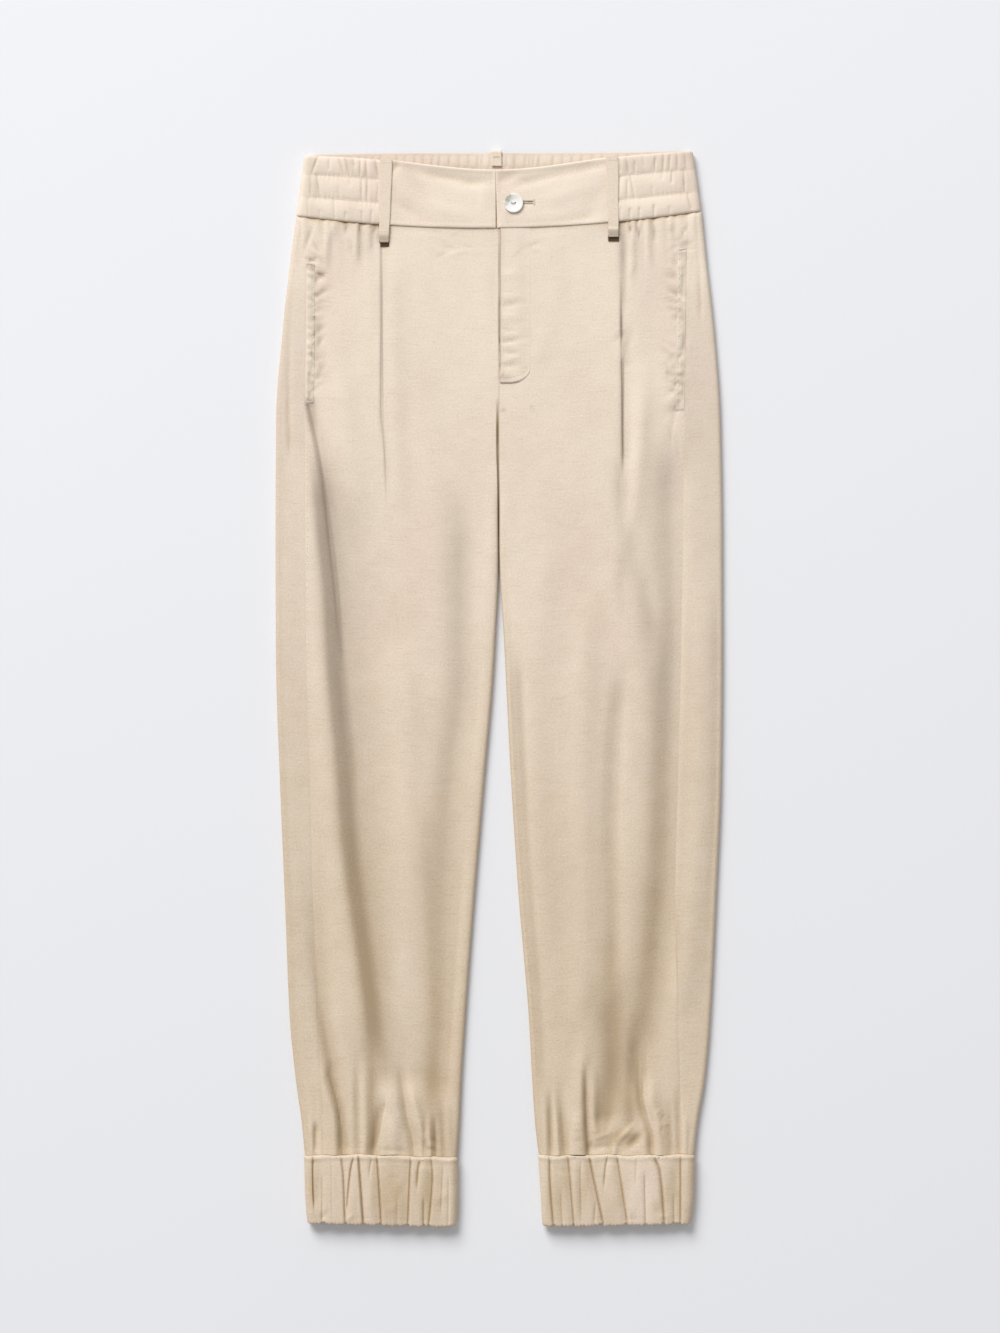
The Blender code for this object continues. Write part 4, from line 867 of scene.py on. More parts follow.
def topShade(side, x, y):
    # painted shade: dark under the gathered band, fainter under the flat one, darkest as painted shadow under
    # the folded end of the loop, and faint beside the loop
    below = frontSeamY(x) - y
    share = mix(0.45, 1.35, ease(np.abs(x), 99, 103)) * (0.75 + 0.25 * np.sin(np.abs(x) / 4.3 + 1))
    loopEnd = below - loopLook["belowSeam"][side] - loopLook["foot"] - 0.4
    underLoop = bell(loopEnd, 0.9) * bell(np.abs(x) - loopLook["endX"], loopLook["endWidth"] / 2.2)
    besideLoop = bell(np.abs(x) - loopLook["endX"], 7.5) * bell(below - 3, 5.0)
    return share * np.exp(-np.maximum(below, 0) / 2.2) + 0.8 * underLoop + 0.25 * besideLoop


# how dark the outer strip of each back lies, and its turned edge
sideShades = {"right": {"strip": 0.7, "edge": 1.0}, "left": {"strip": 1.0, "edge": 0.25}}


def sideShade(y):
    # strongest at the thigh, gone at the pocket's top and above the cuff
    return curveThrough((-350, -250, -80, 80, 200, 320, 375), (0.0, 0.14, 0.18, 0.24, 0.25, 0.24, 0.0),
                        np.clip(y, -350, 375))


def edgeShade(inside):
    # painted shade where the linen turns over at an outline
    return 0.26 * (1 - ease(inside, -2, 9))


# how dark each kind of shade lies on a front
frontShade = {"folds": 0.95, "hollows": 0.4, "outside": 0.12, "seam": 1.3, "fly": 0.5, "pinched": 0.45}


def addFrontPanel(side):
    # from the side seam in over the top, and a quarter turn down at the inner edge
    fraction = legFractions(legGrid["rows"])
    edges = legEdges(side, fraction, frontSeamY)
    sign = signOf(side)
    steps, drops = innerBend(edges["half"], edges["bend"], legGrid["bend"])
    start = edges["inner"] + steps[:, -1]
    seam = edges["seam"] - form["sideGap"] / 2
    fold = edges["fold"]
    pleat = edges["pleat"]
    xs = np.concatenate([
        spread(seam, fold + 5, legGrid["hip"]), spread(fold + 5, fold - 5, legGrid["foldBand"]),
        spread(fold - 5, pleat + 4, legGrid["thigh"]), spread(pleat + 4, pleat - 3, legGrid["pleatBand"]),
        spread(pleat - 3, start, legGrid["centre"], True)], axis=1)
    ys = rowY(frontSeamY, sign * xs, fraction[:, None])
    flat = pointsAt(sign * xs, ys, frontTop(side, xs, ys))
    bendX = start[:, None] - steps
    bendY = rowY(frontSeamY, sign * bendX, fraction[:, None])
    outer = np.concatenate([flat, pointsAt(sign * bendX, bendY, flat[:, -1:, 2] - drops)], axis=1)
    normal = gridNormals(outer)
    inner = outer - normal * np.sign(normal[..., 2].mean()) * legGrid["cloth"]
    x = outer[..., 0]
    y = outer[..., 1]
    fromOuter = edges["outer"][:, None] - sign * x
    fromInner = sign * x - edges["inner"][:, None]
    # painted shade in folds, hollows, on the outer strip, along the seam between the legs, under the fly and
    # the bands, at the turned inner edge and in puckers; the tone also darkens towards the cuffs
    flyDark = flyShade(x, y)
    seamDark = seamShade(x, y)
    sunk = frontShade["folds"] * sunkShade(side, xs, ys, legGrid["bend"]) + foldShade(side, sign * x, y)
    sunk = sunk + frontShade["hollows"] * hollowShade(outer)
    sunk = sunk + frontShade["outside"] * (1 - ease(fromOuter, 10, 44)) * bell(y + 20, 210)
    high = mix(0.45, 1.0, ease(y, -320, 150))    # painted fold shade: it dims the upper leg and is darker and yellower on the lower leg
    tone = (1 - high) * sunk + lengthTone(y) + frontShade["seam"] * np.clip(seamDark - 0.7, 0, 2)
    tone = tone + topShade(side, x, y) + edgeShade(fromInner) * edges["bend"][:, None]
    tone = tone + frontShade["fly"] * flyDark + dentRelief(legShading, x, y)
    pinched = np.pad(np.clip(-puckerField(side, xs, ys), 0, 1), ((0, 0), (0, legGrid["bend"])))
    dusk = high * sunk + dentRelief(marks, x, y) + seamDark + flyDark + frontShade["pinched"] * pinched
    addCloth(f"frontPanel.{side}", f"front_panel_{side}", outer, inner, tone, dusk)


backGrid = {"rows": 240, "flat": 84, "arc": 14, "strip": 14, "cloth": 0.6, "trough": 1.1}


def backRelief(side, x, y):
    # troughs pressed up into the flat underside, gathers at both ends
    fromCuff = y - form["cuffSeam"]
    fromWaist = backSeamY(signOf(side) * x) - y
    troughs = dentRelief(backDents, x, y)
    waves = np.clip(crumple(signOf(side) * x + 60, y - 35), 0, 1) * 0.35
    cuffEnd = gatherWave(x, frontLook["cuffPitch"]) * np.exp(-fromCuff / 20)
    waistEnd = 0.9 * gatherWave(x + 4, frontLook["waistPitch"]) * np.exp(-fromWaist / 16)
    return np.minimum(troughs, backGrid["trough"]) + waves + cuffEnd + waistEnd


def addBackPanel(side):
    # from the inner edge under the leg, round its side and over to the side seam on top
    fraction = legFractions(backGrid["rows"])
    edges = legEdges(side, fraction, backSeamY)
    sign = signOf(side)
    column = fraction[:, None]
    steps, rises = innerBend(edges["half"], edges["bend"], legGrid["bend"])
    start = edges["inner"] + steps[:, -1]
    radius = edges["height"] / 2
    sideX = edges["outer"] - radius
    flatX = spread(start, sideX, backGrid["flat"], True)
    flatY = rowY(backSeamY, sign * flatX, column)
    inside = ease(flatX - start[:, None], 0, 7) * (1 - ease(flatX - sideX[:, None], -8, 0))
    lift = backLift(flatX, flatY)
    bendX = (start[:, None] - steps)[:, ::-1]
    angles = np.linspace(-math.pi / 2, math.pi / 2, backGrid["arc"] + 1)[None, 1:]
    risen = (1 + np.sin(angles)) / 2
    arcX = sideX[:, None] + radius[:, None] * np.cos(angles)
    arcY = mix(rowY(backSeamY, sign * arcX, column), rowY(frontSeamY, sign * arcX, column), risen)
    topX = spread(sideX, edges["seam"] + form["sideGap"] / 2, backGrid["strip"], True)[:, 1:]
    topY = rowY(frontSeamY, sign * topX, column)
    topZ = frontTop(side, topX, topY)
    outer = np.concatenate([
        pointsAt(sign * bendX, rowY(backSeamY, sign * bendX, column), rises[:, ::-1] + lift[:, :1]),
        pointsAt(sign * flatX, flatY, lift + backRelief(side, flatX, flatY) * inside),
        pointsAt(sign * arcX, arcY, risen * topZ[:, :1]),
        pointsAt(sign * topX, topY, topZ)], axis=1)
    normal = gridNormals(outer)
    core = pointsAt(sign * mix(start, sideX, 0.5), outer[..., 1].mean(axis=1), radius)[:, None, :]
    normal = normal * np.sign(np.einsum("ijk,ijk->ij", normal, outer - core).mean())
    inner = outer - normal * backGrid["cloth"]
    x = outer[..., 0]
    y = outer[..., 1]
    # painted shade in hollows, at the turned outer edge and along the outer strip, on the parts that face up;
    # the tone also darkens towards the cuffs
    look = sideShades[side]
    upper = ease(outer[..., 2], 3, 6)
    turned = edgeShade(edges["outer"][:, None] - sign * x) * look["edge"]
    tone = (0.4 * hollowShade(outer) + turned) * upper + lengthTone(y)
    dusk = look["strip"] * sideShade(y) * upper
    addCloth(f"backPanel.{side}", f"back_panel_{side}", outer, inner, tone, dusk)


for side in both:
    addFrontPanel(side)
    addBackPanel(side)
print("legs: two fronts and two backs laid flat")


elastic = {
    "rowFractions": (0.33, 0.69),   # the two rows of stitching, from the seam up
    "end": 102.15,
    "height": 9.4,
    "wall": 3.0,
    "puff": 1.5,
    "crease": 1.2,
    "frontColumns": 110,
    "arcColumns": 12,
    "backColumns": 330,
    "rows": 46,
    "depth": 55.0,
    "backMiddle": 175,    # the middle of the hidden stretch, along it
}
# crease: channel from the seam up, distance from the centre line at its top and foot, span in the channel,
# depth and width
elasticCreases = {
    "right": [
        (2, 162, 168.3, 0, 1, 1.2, 1.7), (2, 144, 138.6, 0, 1, 1.4, 1.6), (2, 137.7, 134.1, 0, 1, 1.3, 1.5),
        (2, 124.2, 124.4, 0, 1, 1, 1.3), (2, 119.3, 118.4, 0, 1, 1.2, 1.4),
        (2, 111, 107.6, 0, 0.9, 1.3, 1.5), (2, 152, 153, 0.1, 0.7, 0.6, 1.6),
        (2, 130.5, 129, 0, 0.5, 0.7, 1.4), (2, 171, 173.5, 0, 1, 0.8, 1.5),
        (1, 169.5, 169, 0.1, 0.9, 1.1, 1.7), (1, 163.4, 160.6, 0, 1, 1.1, 1.6),
        (1, 123.3, 123, 0, 1, 1, 1.4), (1, 117.9, 118.4, 0, 1, 1.1, 1.4), (1, 146, 143, 0.5, 1, 0.5, 1.8),
        (1, 108, 109, 0.2, 1, 0.7, 1.4), (1, 134, 133, 0, 0.35, 0.5, 1.6), (1, 175.5, 175, 0, 1, 0.7, 1.5),
        (0, 172.3, 171, 0, 1, 0.9, 1.7), (0, 148.5, 147, 0, 0.9, 0.7, 1.7), (0, 124, 122, 0.5, 1, 0.7, 1.6),
        (0, 114, 114.5, 0.4, 1, 0.8, 1.5), (0, 137, 138, 0.6, 1, 0.7, 1.5), (0, 160, 161, 0.6, 1, 0.5, 1.8)],
    "left": [
        (2, 114, 117, 0, 1, 1.1, 1.5), (2, 121.5, 122.5, 0.4, 1, 0.8, 1.4),
        (2, 140.4, 140, 0.3, 1, 1.1, 1.4), (2, 148, 147.6, 0, 1, 1.1, 1.4),
        (2, 153.5, 153.2, 0.2, 1, 1.1, 1.4), (2, 159.8, 160.6, 0, 1, 1.1, 1.5),
        (2, 129, 131, 0, 0.6, 0.5, 1.7), (2, 167, 168.5, 0, 1, 0.8, 1.5), (2, 174, 175, 0, 1, 0.8, 1.5),
        (2, 108.6, 109, 0, 0.8, 0.8, 1.3), (1, 117.7, 121.9, 0, 1, 1.2, 1.5),
        (1, 115.2, 115.4, 0.2, 1, 0.9, 1.3), (1, 155.3, 155, 0, 0.5, 0.9, 1.5),
        (1, 166, 167, 0, 1, 1.2, 1.5), (1, 146, 147, 0, 0.3, 0.7, 1.3), (1, 136, 138, 0.6, 1, 0.5, 1.6),
        (1, 108.5, 108, 0, 0.8, 0.7, 1.3), (1, 174.5, 175.5, 0, 1, 0.7, 1.5),
        (0, 168.8, 174.2, 0, 0.8, 1.2, 1.5), (0, 117, 118, 0.5, 1, 0.9, 1.5),
        (0, 126, 126.5, 0.5, 1, 0.9, 1.4), (0, 139, 139.5, 0.45, 1, 1, 1.5),
        (0, 154, 153, 0.6, 1, 0.6, 1.7), (0, 109, 109, 0.4, 1, 0.6, 1.4)],
}


# soft shade on the gathered stretch: the dents' numbers, and how dark
elasticMarks = [
    (-168, 473, 80, 9, 6, 0.35), (-134, 472, 100, 10, 5, 0.3), (-112, 470, 95, 9, 4, 0.3),
    (-121, 462, 90, 5, 3, 0.3), (-168, 452, 90, 9, 6, 0.32), (-116, 450, 90, 8, 4, 0.12),
    (-170, 433, 90, 9, 5, 0.2), (-132, 431, 70, 8, 5, 0.14), (118, 473, 5, 12, 8, 0.3),
    (142, 476, 8, 16, 7, 0.3), (168, 479, 8, 12, 7, 0.38), (112, 468, 0, 6, 4, 0.2),
    (165, 458, 80, 9, 10, 0.2), (128, 452, 90, 9, 8, 0.08), (112, 434, 90, 8, 5, 0.12),
]


# the gathers that show above the front edge, on the inside of the back: place, lean, depth, width
insideCreases = [
    (-92, 1, 0.9, 1.2), (-84, -1, 0.6, 1.4), (-76, 1, 0.9, 1.1), (-68, 0, 0.7, 1.3), (-60, 0.5, 1.2, 1),
    (-53, -0.5, 1.2, 1), (-44.5, 0, 1.3, 1), (-36, 1, 0.7, 1.4), (-27, 0, 0.6, 1.5), (-19, 0.4, 1.2, 0.9),
    (-15, -0.4, 1.2, 0.9), (-8, 0, 0.6, 1.2), (7, 0, 0.7, 1.2), (14, 1, 0.7, 1.4), (24, 0, 1.3, 1),
    (27.5, 0.5, 1.1, 0.9), (31, 0, 1.1, 0.9), (36.5, -0.5, 1.2, 1), (48.6, 0, 1.2, 1), (57, 1, 0.7, 1.3),
    (66, 0, 0.8, 1.2), (75, -1, 0.9, 1.1), (84, 0, 0.7, 1.4), (93, 1, 0.9, 1.1),
]


def hiddenCreases(length):
    # uneven gathers for the stretch that lies underneath, from a seeded draw
    rows = []
    for channel in range(3):
        place = 4.0
        while place < length - 4:
            lean = chance.uniform(-2.5, 2.5)
            low, high = sorted(chance.uniform(0, 1, 2))
            whole = chance.uniform() < 0.7
            span = (0, 1) if whole else (low, max(high, low + 0.4))
            depth = chance.uniform(0.4, 1.2)
            rows.append((channel, place, place + lean, *span, depth, chance.uniform(1.2, 1.9)))
            place += chance.uniform(4.5, 11.0)
    return rows


def channelRelief(creases, s, v):
    # each channel is a round puff between two pinched rows; each crease is a narrow bell taken from it
    edges = (0.0, *elastic["rowFractions"], 1.0)
    total = np.zeros(np.broadcast(s, v).shape)
    for channel in range(3):
        t = (v - edges[channel]) / (edges[channel + 1] - edges[channel])
        within = (t >= 0) & (t <= 1)
        t = np.clip(t, 0, 1)
        arch = np.sin(math.pi * t)
        puff = elastic["puff"] * (arch ** 0.7 + 0.1 * (channel == 0) * arch)
        cut = np.zeros_like(total)
        for top, foot, start, end, depth, width in (row[1:] for row in creases if row[0] == channel):
            across = s - mix(foot, top, t)
            fade = ease(1 - t, start - 0.12, start + 0.06) * (1 - ease(1 - t, end - 0.06, end + 0.12))
            line = 0.5 * bell(across, 0.8) + 0.5 * bell(across, 1.3 * width)
            cut = cut + elastic["crease"] * depth * line * fade
        ticks = np.clip(np.sin(s / 0.75 + 2.3 * np.sin(s / 6.1) + channel), 0, 1) ** 2
        ticks = ticks * (0.5 + 0.5 * np.sin(s / 8.3 + 2 * channel))
        cut = cut + 0.6 * ticks * (bell(t, 0.22) * (channel > 0) + bell(1 - t, 0.22))
        total = total + np.where(within, np.maximum(puff - cut * (0.35 + 0.65 * arch), -0.6), 0)
    return total


def frontBandY(x, v):
    return mix(frontSeamY(x) + form["gap"] / 2, frontTopY(x), v)


def backBandY(x, v):
    return mix(backSeamY(x) + form["gap"] / 2, backTopY(x), v)


def addElastic():
    # a racetrack in section: front, round the side, under the back, round the other side, front again
    halfWall = elastic["wall"] / 2
    radius = elastic["height"] / 2 - halfWall
    fine = np.linspace(0, 1, elastic["rows"])
    v = np.concatenate([[0, 0.004, 0.012], fine[1:-1], [0.988, 0.996, 1]])[:, None]
    angles = np.linspace(math.pi / 2, -math.pi / 2, elastic["arcColumns"] + 1)[None, 1:]
    risen = (1 + np.sin(angles)) / 2
    parts = []
    for side in both:
        sign = signOf(side)
        sideY = mix(frontSeamY(sign * form["sideX"]), frontTopY(sign * 175), v)
        edge = form["bandHalf"] - form["bandTaper"] * (sideY - 425) - elastic["height"] / 2
        x = mix(elastic["end"], edge, np.linspace(0, 1, elastic["frontColumns"])[None, :])
        flat = pointsAt(sign * x, frontBandY(sign * x, v), elastic["height"] - halfWall)
        relief = channelRelief(elasticCreases[side], x, v) * ease(x, elastic["end"] + 1, elastic["end"] + 6)
        relief = relief * (1 - 0.6 * ease(x - edge, -7, 0))
        arcX = sign * (edge + radius * np.cos(angles))
        arcY = mix(backBandY(arcX, v), frontBandY(arcX, v), risen)
        arc = pointsAt(arcX, arcY, elastic["height"] / 2 + radius * np.sin(angles))
        outward = pointsAt(sign * np.cos(angles) + 0 * arcX, 0, np.sin(angles))
        turned = 0.35 * channelRelief(hiddenCreases(30), (angles + 2) * 6, v) * risen
        pairs = ((flat, arc), (pointsAt(0 * x, 0, 1), outward), (relief, turned))
        parts.append([np.concatenate(pair, axis=1) for pair in pairs])
    rightEnd, leftEnd = [part[0][:, -1:, 0] for part in parts]
    x = mix(rightEnd, leftEnd, np.linspace(0, 1, elastic["backColumns"] + 1)[None, 1:-1])
    y = backBandY(x, v)
    middleAt = elastic["backMiddle"]
    unseen = [row for row in hiddenCreases(2 * middleAt) if row[0] < 2 or abs(row[1] - middleAt) > 100]
    seen = [(2, middleAt + place, middleAt + place + lean, 0, 1, depth, width)
            for place, lean, depth, width in insideCreases]
    gathers = channelRelief(unseen + seen, x + middleAt, v) - elastic["puff"] * 1.35
    gathers = np.maximum(gathers, -1.4) * (1 - ease(np.abs(x), 160, 172))
    under = (pointsAt(x, y, halfWall + backLift(x, y)), pointsAt(0 * x, 0, -1), gathers)
    middle, normal, relief = [np.concatenate([right, own, left[:, ::-1]], axis=1)
                              for right, own, left in zip(parts[0], under, parts[1])]
    rounded = edgeRound(np.minimum(v, 1 - v) * elastic["depth"], 1.6)
    inside = np.clip(-relief * 0.8, -0.2, 1.3)
    isBack = np.abs(normal[..., 2] + 1) < 1e-6
    topRow = np.roll(relief, -6, axis=0)[-8:-7]
    scallop = -0.9 * np.clip(elastic["puff"] * 0.9 - topRow, 0, 1) * ease(v, 0.9, 1)
    middle[..., 1] += np.where(isBack, 0.35 * scallop, scallop)
    outer = middle + normal * ((halfWall + relief) * rounded)[..., None]
    inner = middle - normal * ((halfWall - np.where(isBack, inside, 0)) * rounded)[..., None]
    # painted shade in hollows, on right-facing walls, along the stitched rows and in the dips of the back;
    # painted light lifts the shown front and the inside of the back
    rows = sum(bell(v - row, 0.035) for row in elastic["rowFractions"])
    shown = normal[..., 2] > 0
    sunk = hollowShade(outer)
    dip = np.clip(inside, 0, 1)
    tone = (0.34 * sunk + 0.12 * wallShade(outer) + 0.14 * rows - 0.15) * shown
    tone = (tone + (-0.12 + 0.1 * dip) * isBack) * mix(0.65, 1.0, isBack)
    dusk = 0.25 * dip * isBack + (0.2 * sunk + dentRelief(elasticMarks, outer[..., 0], outer[..., 1])) * shown
    addCloth("waistband.elastic", "waistband_back", outer, inner, tone, dusk)


flatBand = {
    "height": 9.8,
    "wall": 2.4,
    "end": 101.85,
    "lapX": -1.8,
    "underlap": 34.0,
    "rows": 34,
    "depth": 54.0,
    "buttonhole": (10.4, 31.0, 436.3, 0.4),   # from, to, height, width
}
# dent rows for the smooth stretches of the band, in true x
bandDents = [
    (-72, 452, 128, 26, 7, -0.75), (-58, 462, 170, 22, 4, -0.5), (-62, 440, 125, 24, 8, 0.6),
    (-36, 458, 172, 24, 6, -0.7), (-86, 448, 118, 20, 5, 0.5), (-80, 430, 150, 18, 5, -0.35),
    (-20, 455, 10, 16, 5, -0.4), (-40, 428, 165, 24, 7, 0.35), (-92, 470, 60, 9, 3, -0.5),
    (8, 459, 15, 10, 4.5, -0.7), (24, 455, 12, 18, 5, -0.5), (52, 462, 12, 26, 5, -0.55),
    (84, 468, 10, 16, 4, -0.4), (60, 444, 20, 26, 8, 0.5), (86, 436, 60, 20, 8, -0.35),
    (40, 424, 5, 26, 6, 0.3), (6, 428, 80, 10, 4, 0.3), (74, 424, 14, 22, 5, -0.3),
    (-14, 440, 88, 14, 5, 0.3),
]


# soft shade on the flat band: the dents' numbers, and how dark
bandMarks = [
    (-52, 460, 175, 26, 4.5, 0.13), (-72, 452, 140, 12, 6, 0.08), (-20, 461, 176, 22, 3.5, 0.1),
    (8, 462, 5, 18, 3, 0.1), (55, 466, 8, 26, 3, 0.07), (-4.5, 440, 90, 22, 2.6, 0.08),
    (-95, 440, 92, 26, 4, 0.1), (95, 440, 92, 26, 4, 0.1), (13, 427, 0, 8, 2, 0.25),
]


def bandRelief(x, y):
    return 1.9 * dentRelief(bandDents, x, y) + 0.3 * crumple(x * 1.2 + 40, y * 1.5)


def addBandFront(side):
    # a flat doubled stretch with rolled edges; the right one steps down and runs on under the left one
    lap = flatBand["lapX"]
    rowAt = np.linspace(0, 1, flatBand["rows"])
    start, end, holeY, width = flatBand["buttonhole"]
    if side == "left":
        middleX = (start + end) / 2
        rise = frontTopY(middleX) - frontSeamY(middleX)
        slitAt = (holeY - frontSeamY(middleX)) / rise
        lips = slitAt + np.array([-0.5, 0.5]) * width / rise
        beside = np.array([0.6, 0.95, 1.35, 1.8, 2.6]) / rise
        rowAt = rowAt[np.abs(rowAt - slitAt) > 3.2 / rise]
        rowAt = np.sort(np.concatenate([rowAt, slitAt - beside, slitAt + beside, lips]))
        xs = np.concatenate([lap + np.array([0, 0.12, 0.4, 0.8]), np.linspace(lap + 1.5, start, 9),
                             np.linspace(start, end, 18)[1:], np.linspace(end, flatBand["end"], 56)[1:]])
    else:
        far = flatBand["underlap"]
        xs = np.concatenate([np.linspace(-flatBand["end"], lap - 7, 70), np.linspace(lap - 6.4, lap + 1, 16),
                             np.linspace(lap + 2.5, far - 1.6, 16), far - np.array([0.8, 0.4, 0.12, 0])])
    fold = np.concatenate([[0, 0.0035, 0.011], rowAt[1:-1], [0.989, 0.9965, 1]])
    v = fold[:, None]
    x = np.broadcast_to(xs[None, :], (len(fold), len(xs)))
    y = frontBandY(x, v)
    fromFoot = v * flatBand["depth"]
    fromTop = flatBand["depth"] - fromFoot
    near = np.minimum(fromFoot, fromTop)
    half = flatBand["wall"] / 2
    shown = bandRelief(x, y)
    rolled = 0.35 * bell(fromTop - 1.2, 1.3) - 0.3 * bell(fromTop - 4.0, 1.6)
    rolled = rolled + 0.3 * bell(fromFoot - 1.3, 1.2)
    hole = None
    if side == "left":
        near = np.minimum(near, x - lap)
        hole = [int(np.searchsorted(fold, value - 1e-9)) for value in lips]
        hole += [int(np.searchsorted(xs, value - 1e-9)) for value in (start, end)]
        leanX = x - 1.7 * (v - 0.15) * (1 - ease(x, lap, lap + 30))
        middle = pointsAt(leanX, y, flatBand["height"] - half)
        slit = 1.7 * bell(y - holeY - 0.98, 0.5) + 1.35 * bell(y - holeY + 0.98, 0.5)
        slit = slit * ease(x, start, start + 1) * (1 - ease(x, end - 0.6, end + 0.6))
        relief = shown * ease(x, lap, lap + 5) + rolled - 0.5 * slit
        # painted shade along both lips of the buttonhole, where the slit dips, and round the bar at its far
        # end
        tone = slit + 0.22 * bell(x - end - 1.0 + 0.35 * np.abs(y - holeY), 0.9) * bell(y - holeY, 4.0)
        clear = 1.0
    else:
        near = np.minimum(near, flatBand["underlap"] - x)
        sunk = ease(x, lap - 1.5, lap - 0.15)
        under = flatBand["height"] - flatBand["wall"] - form["gap"]
        middle = pointsAt(x, y, mix(flatBand["height"] - half, under - 1.0, sunk))
        relief = (shown + rolled) * (1 - ease(x, lap - 5, lap - 1.4))
        half = mix(half, 1.0, sunk)
        # painted shade along the edge where the left band laps over
        tone = 0.3 * bell(x - (lap - 0.4), 0.7)
        clear = x < lap - 2
    thick = half * edgeRound(near, 1.2)
    outer = middle.copy()
    inner = middle.copy()
    outer[..., 2] += thick + relief * edgeRound(near, 2.5)
    inner[..., 2] -= thick
    # painted shade in hollows
    tone = tone + 0.6 * hollowShade(outer) * clear
    dusk = dentRelief(bandMarks, x, y)
    addCloth(f"waistband.{side}", f"waistband_front_{side}", outer, inner, tone, dusk, hole=hole)


addElastic()
for side in both:
    addBandFront(side)
print("waistband: gathered back and two flat fronts")


def denseRoute(route, count):
    # the route's points joined by a smooth curve over their distance along it
    route = np.array(route, float)
    steps = np.linalg.norm(np.diff(route, axis=0), axis=1)
    place = np.concatenate([[0], np.cumsum(steps)])
    at = np.linspace(0, place[-1], count)
    return np.column_stack([curveThrough(place, route[:, 0], at), curveThrough(place, route[:, 1], at)])


def turnPoints(centreY, centreZ, radius, start, end, count):
    angles = np.radians(np.linspace(start, end, count))
    return [(centreY + radius * math.cos(a), centreZ + radius * math.sin(a)) for a in angles]


def addStrap(name, node, route, centreX, widths, shade=(0, 0), cloth=loopLook["cloth"], count=90, darkLine=None):
    # a flat strap with rolled edges: the route carried across its width, with painted shade along its edges
    # and below a height
    path = denseRoute(route, count)
    along = np.gradient(path, axis=0)
    along /= np.linalg.norm(along, axis=1)[:, None]
    normal = np.column_stack([np.zeros(count), -along[:, 1], along[:, 0]])[:, None, :]
    half = mix(*widths, ease(np.linspace(0, 1, count)[:, None], 0.3, 0.8)) / 2
    across = np.concatenate([[-1, -0.985, -0.95], np.linspace(-0.88, 0.88, 11), [0.95, 0.985, 1]])
    across = across[None, :] * half
    pathY = path[:, :1]
    middle = pointsAt(centreX(pathY) + across + 0.2 * np.sin(pathY / 6), pathY, path[:, 1:])
    inside = half - np.abs(across)
    rounded = edgeRound(inside, 0.6)
    ridge = 0.18 * bell(inside - 1.1, 0.7)
    outer = middle + normal * ((cloth / 2 + ridge) * rounded)[..., None]
    inner = middle - normal * ((cloth / 2) * rounded)[..., None]
    for sheet in (outer, inner):
        sheet[..., 2] = np.maximum(sheet[..., 2], 0)
    dusk = 0.16 * bell(inside, 0.6) + 0.08 + shade[0] * ease(shade[1] - pathY, -1.5, 2.5)
    # a dark line across the strap at one height, in place of the edge shade
    if darkLine:
        dusk = 0.05 + 0.9 * bell(pathY - darkLine, 0.6) * (1 - ease(np.abs(across), 2.6, 3.6))
    addCloth(name, node, outer, inner, loopLook["tone"] if node else loopLook["endShadowTone"], dusk)


def frontLoopX(side, y):
    topY = frontTopY(loopLook["topX"][side]) - 0.3
    endY = frontSeamY(loopLook["topX"][side]) - loopLook["belowSeam"][side]
    return loopLook["topX"][side] + loopLook["lean"][side] * (topY - y) / (topY - endY)


def addFrontLoop(side):
    # down the band, off its foot to the panel, and folded back under itself
    x = loopLook["topX"][side]
    gap = form["gap"]
    half = loopLook["cloth"] / 2
    topY = float(frontTopY(x)) - 0.3
    seamY = float(frontSeamY(x))
    endY = seamY - loopLook["belowSeam"][side]
    bandZ = flatBand["height"] + gap + half
    panelZ = float(frontTop(side, np.array([[loopLook["endX"]]]), np.array([[endY]])).max())
    underZ = panelZ + gap + half + 0.35
    route = [(topY, bandZ), (topY - 12, bandZ + 0.1), (mix(topY, seamY, 0.5), bandZ + 0.15),
             (seamY + 7, bandZ + 0.15), (seamY, bandZ + 0.1), (seamY - 4, bandZ - 0.05),
             (endY + 6.5, underZ + 2.2), (endY + 3.0, underZ + 1.5),
             *turnPoints(endY + 1.0 + half, underZ + 0.6, 0.7, 60, 270, 6), (endY + loopLook["fold"], underZ)]
    # its lower part, which faces away from the light, gets painted shade
    addStrap(f"beltLoop.{side}", f"belt_loop_{side}", route, lambda y: frontLoopX(side, y),
             (loopLook["width"], loopLook["endWidth"]), (0.6, endY + 8.0))
    # the short end that looks out from under the fold: a dark sheet of painted deep shadow
    low = panelZ + 0.55
    reach = loopLook["foot"]
    foot = [(endY + 2.2, low), (endY, low), (endY - reach / 2, low), (endY - reach, low - 0.05)]
    width = loopLook["endWidth"] + 0.5
    addStrap(f"beltLoop.{side}.end", None, foot, lambda y: frontLoopX(side, y), (width, width),
             cloth=loopLook["endCloth"], count=14)


def addBackLoop():
    # over the band's upper edge from the inside, and down between the band and the ground
    half = loopLook["cloth"] / 2
    topY = loopLook["length"] - half
    insideZ = form["backLoopLift"] + elastic["wall"] + form["gap"] + half
    route = [(topY - loopLook["backInside"], insideZ), (topY - 3, insideZ),
             *turnPoints(topY - 1.4, insideZ - 1.4, 1.4, 90, 0, 4),
             *turnPoints(topY - 1.4, half + 1.4, 1.4, 0, -90, 4),
             (450, half), (form["backSeam"], half), (form["backSeam"] - loopLook["belowSeam"]["back"], half)]
    widths = (loopLook["backWidth"], loopLook["backWidth"])
    addStrap("beltLoop.back", "belt_loop_back", route, lambda y: loopLook["backX"] + 0 * y, widths, count=120,
             darkLine=loopLook["backDarkLine"])


for side in both:
    addFrontLoop(side)
addBackLoop()
print("belt loops: two in front and one behind")


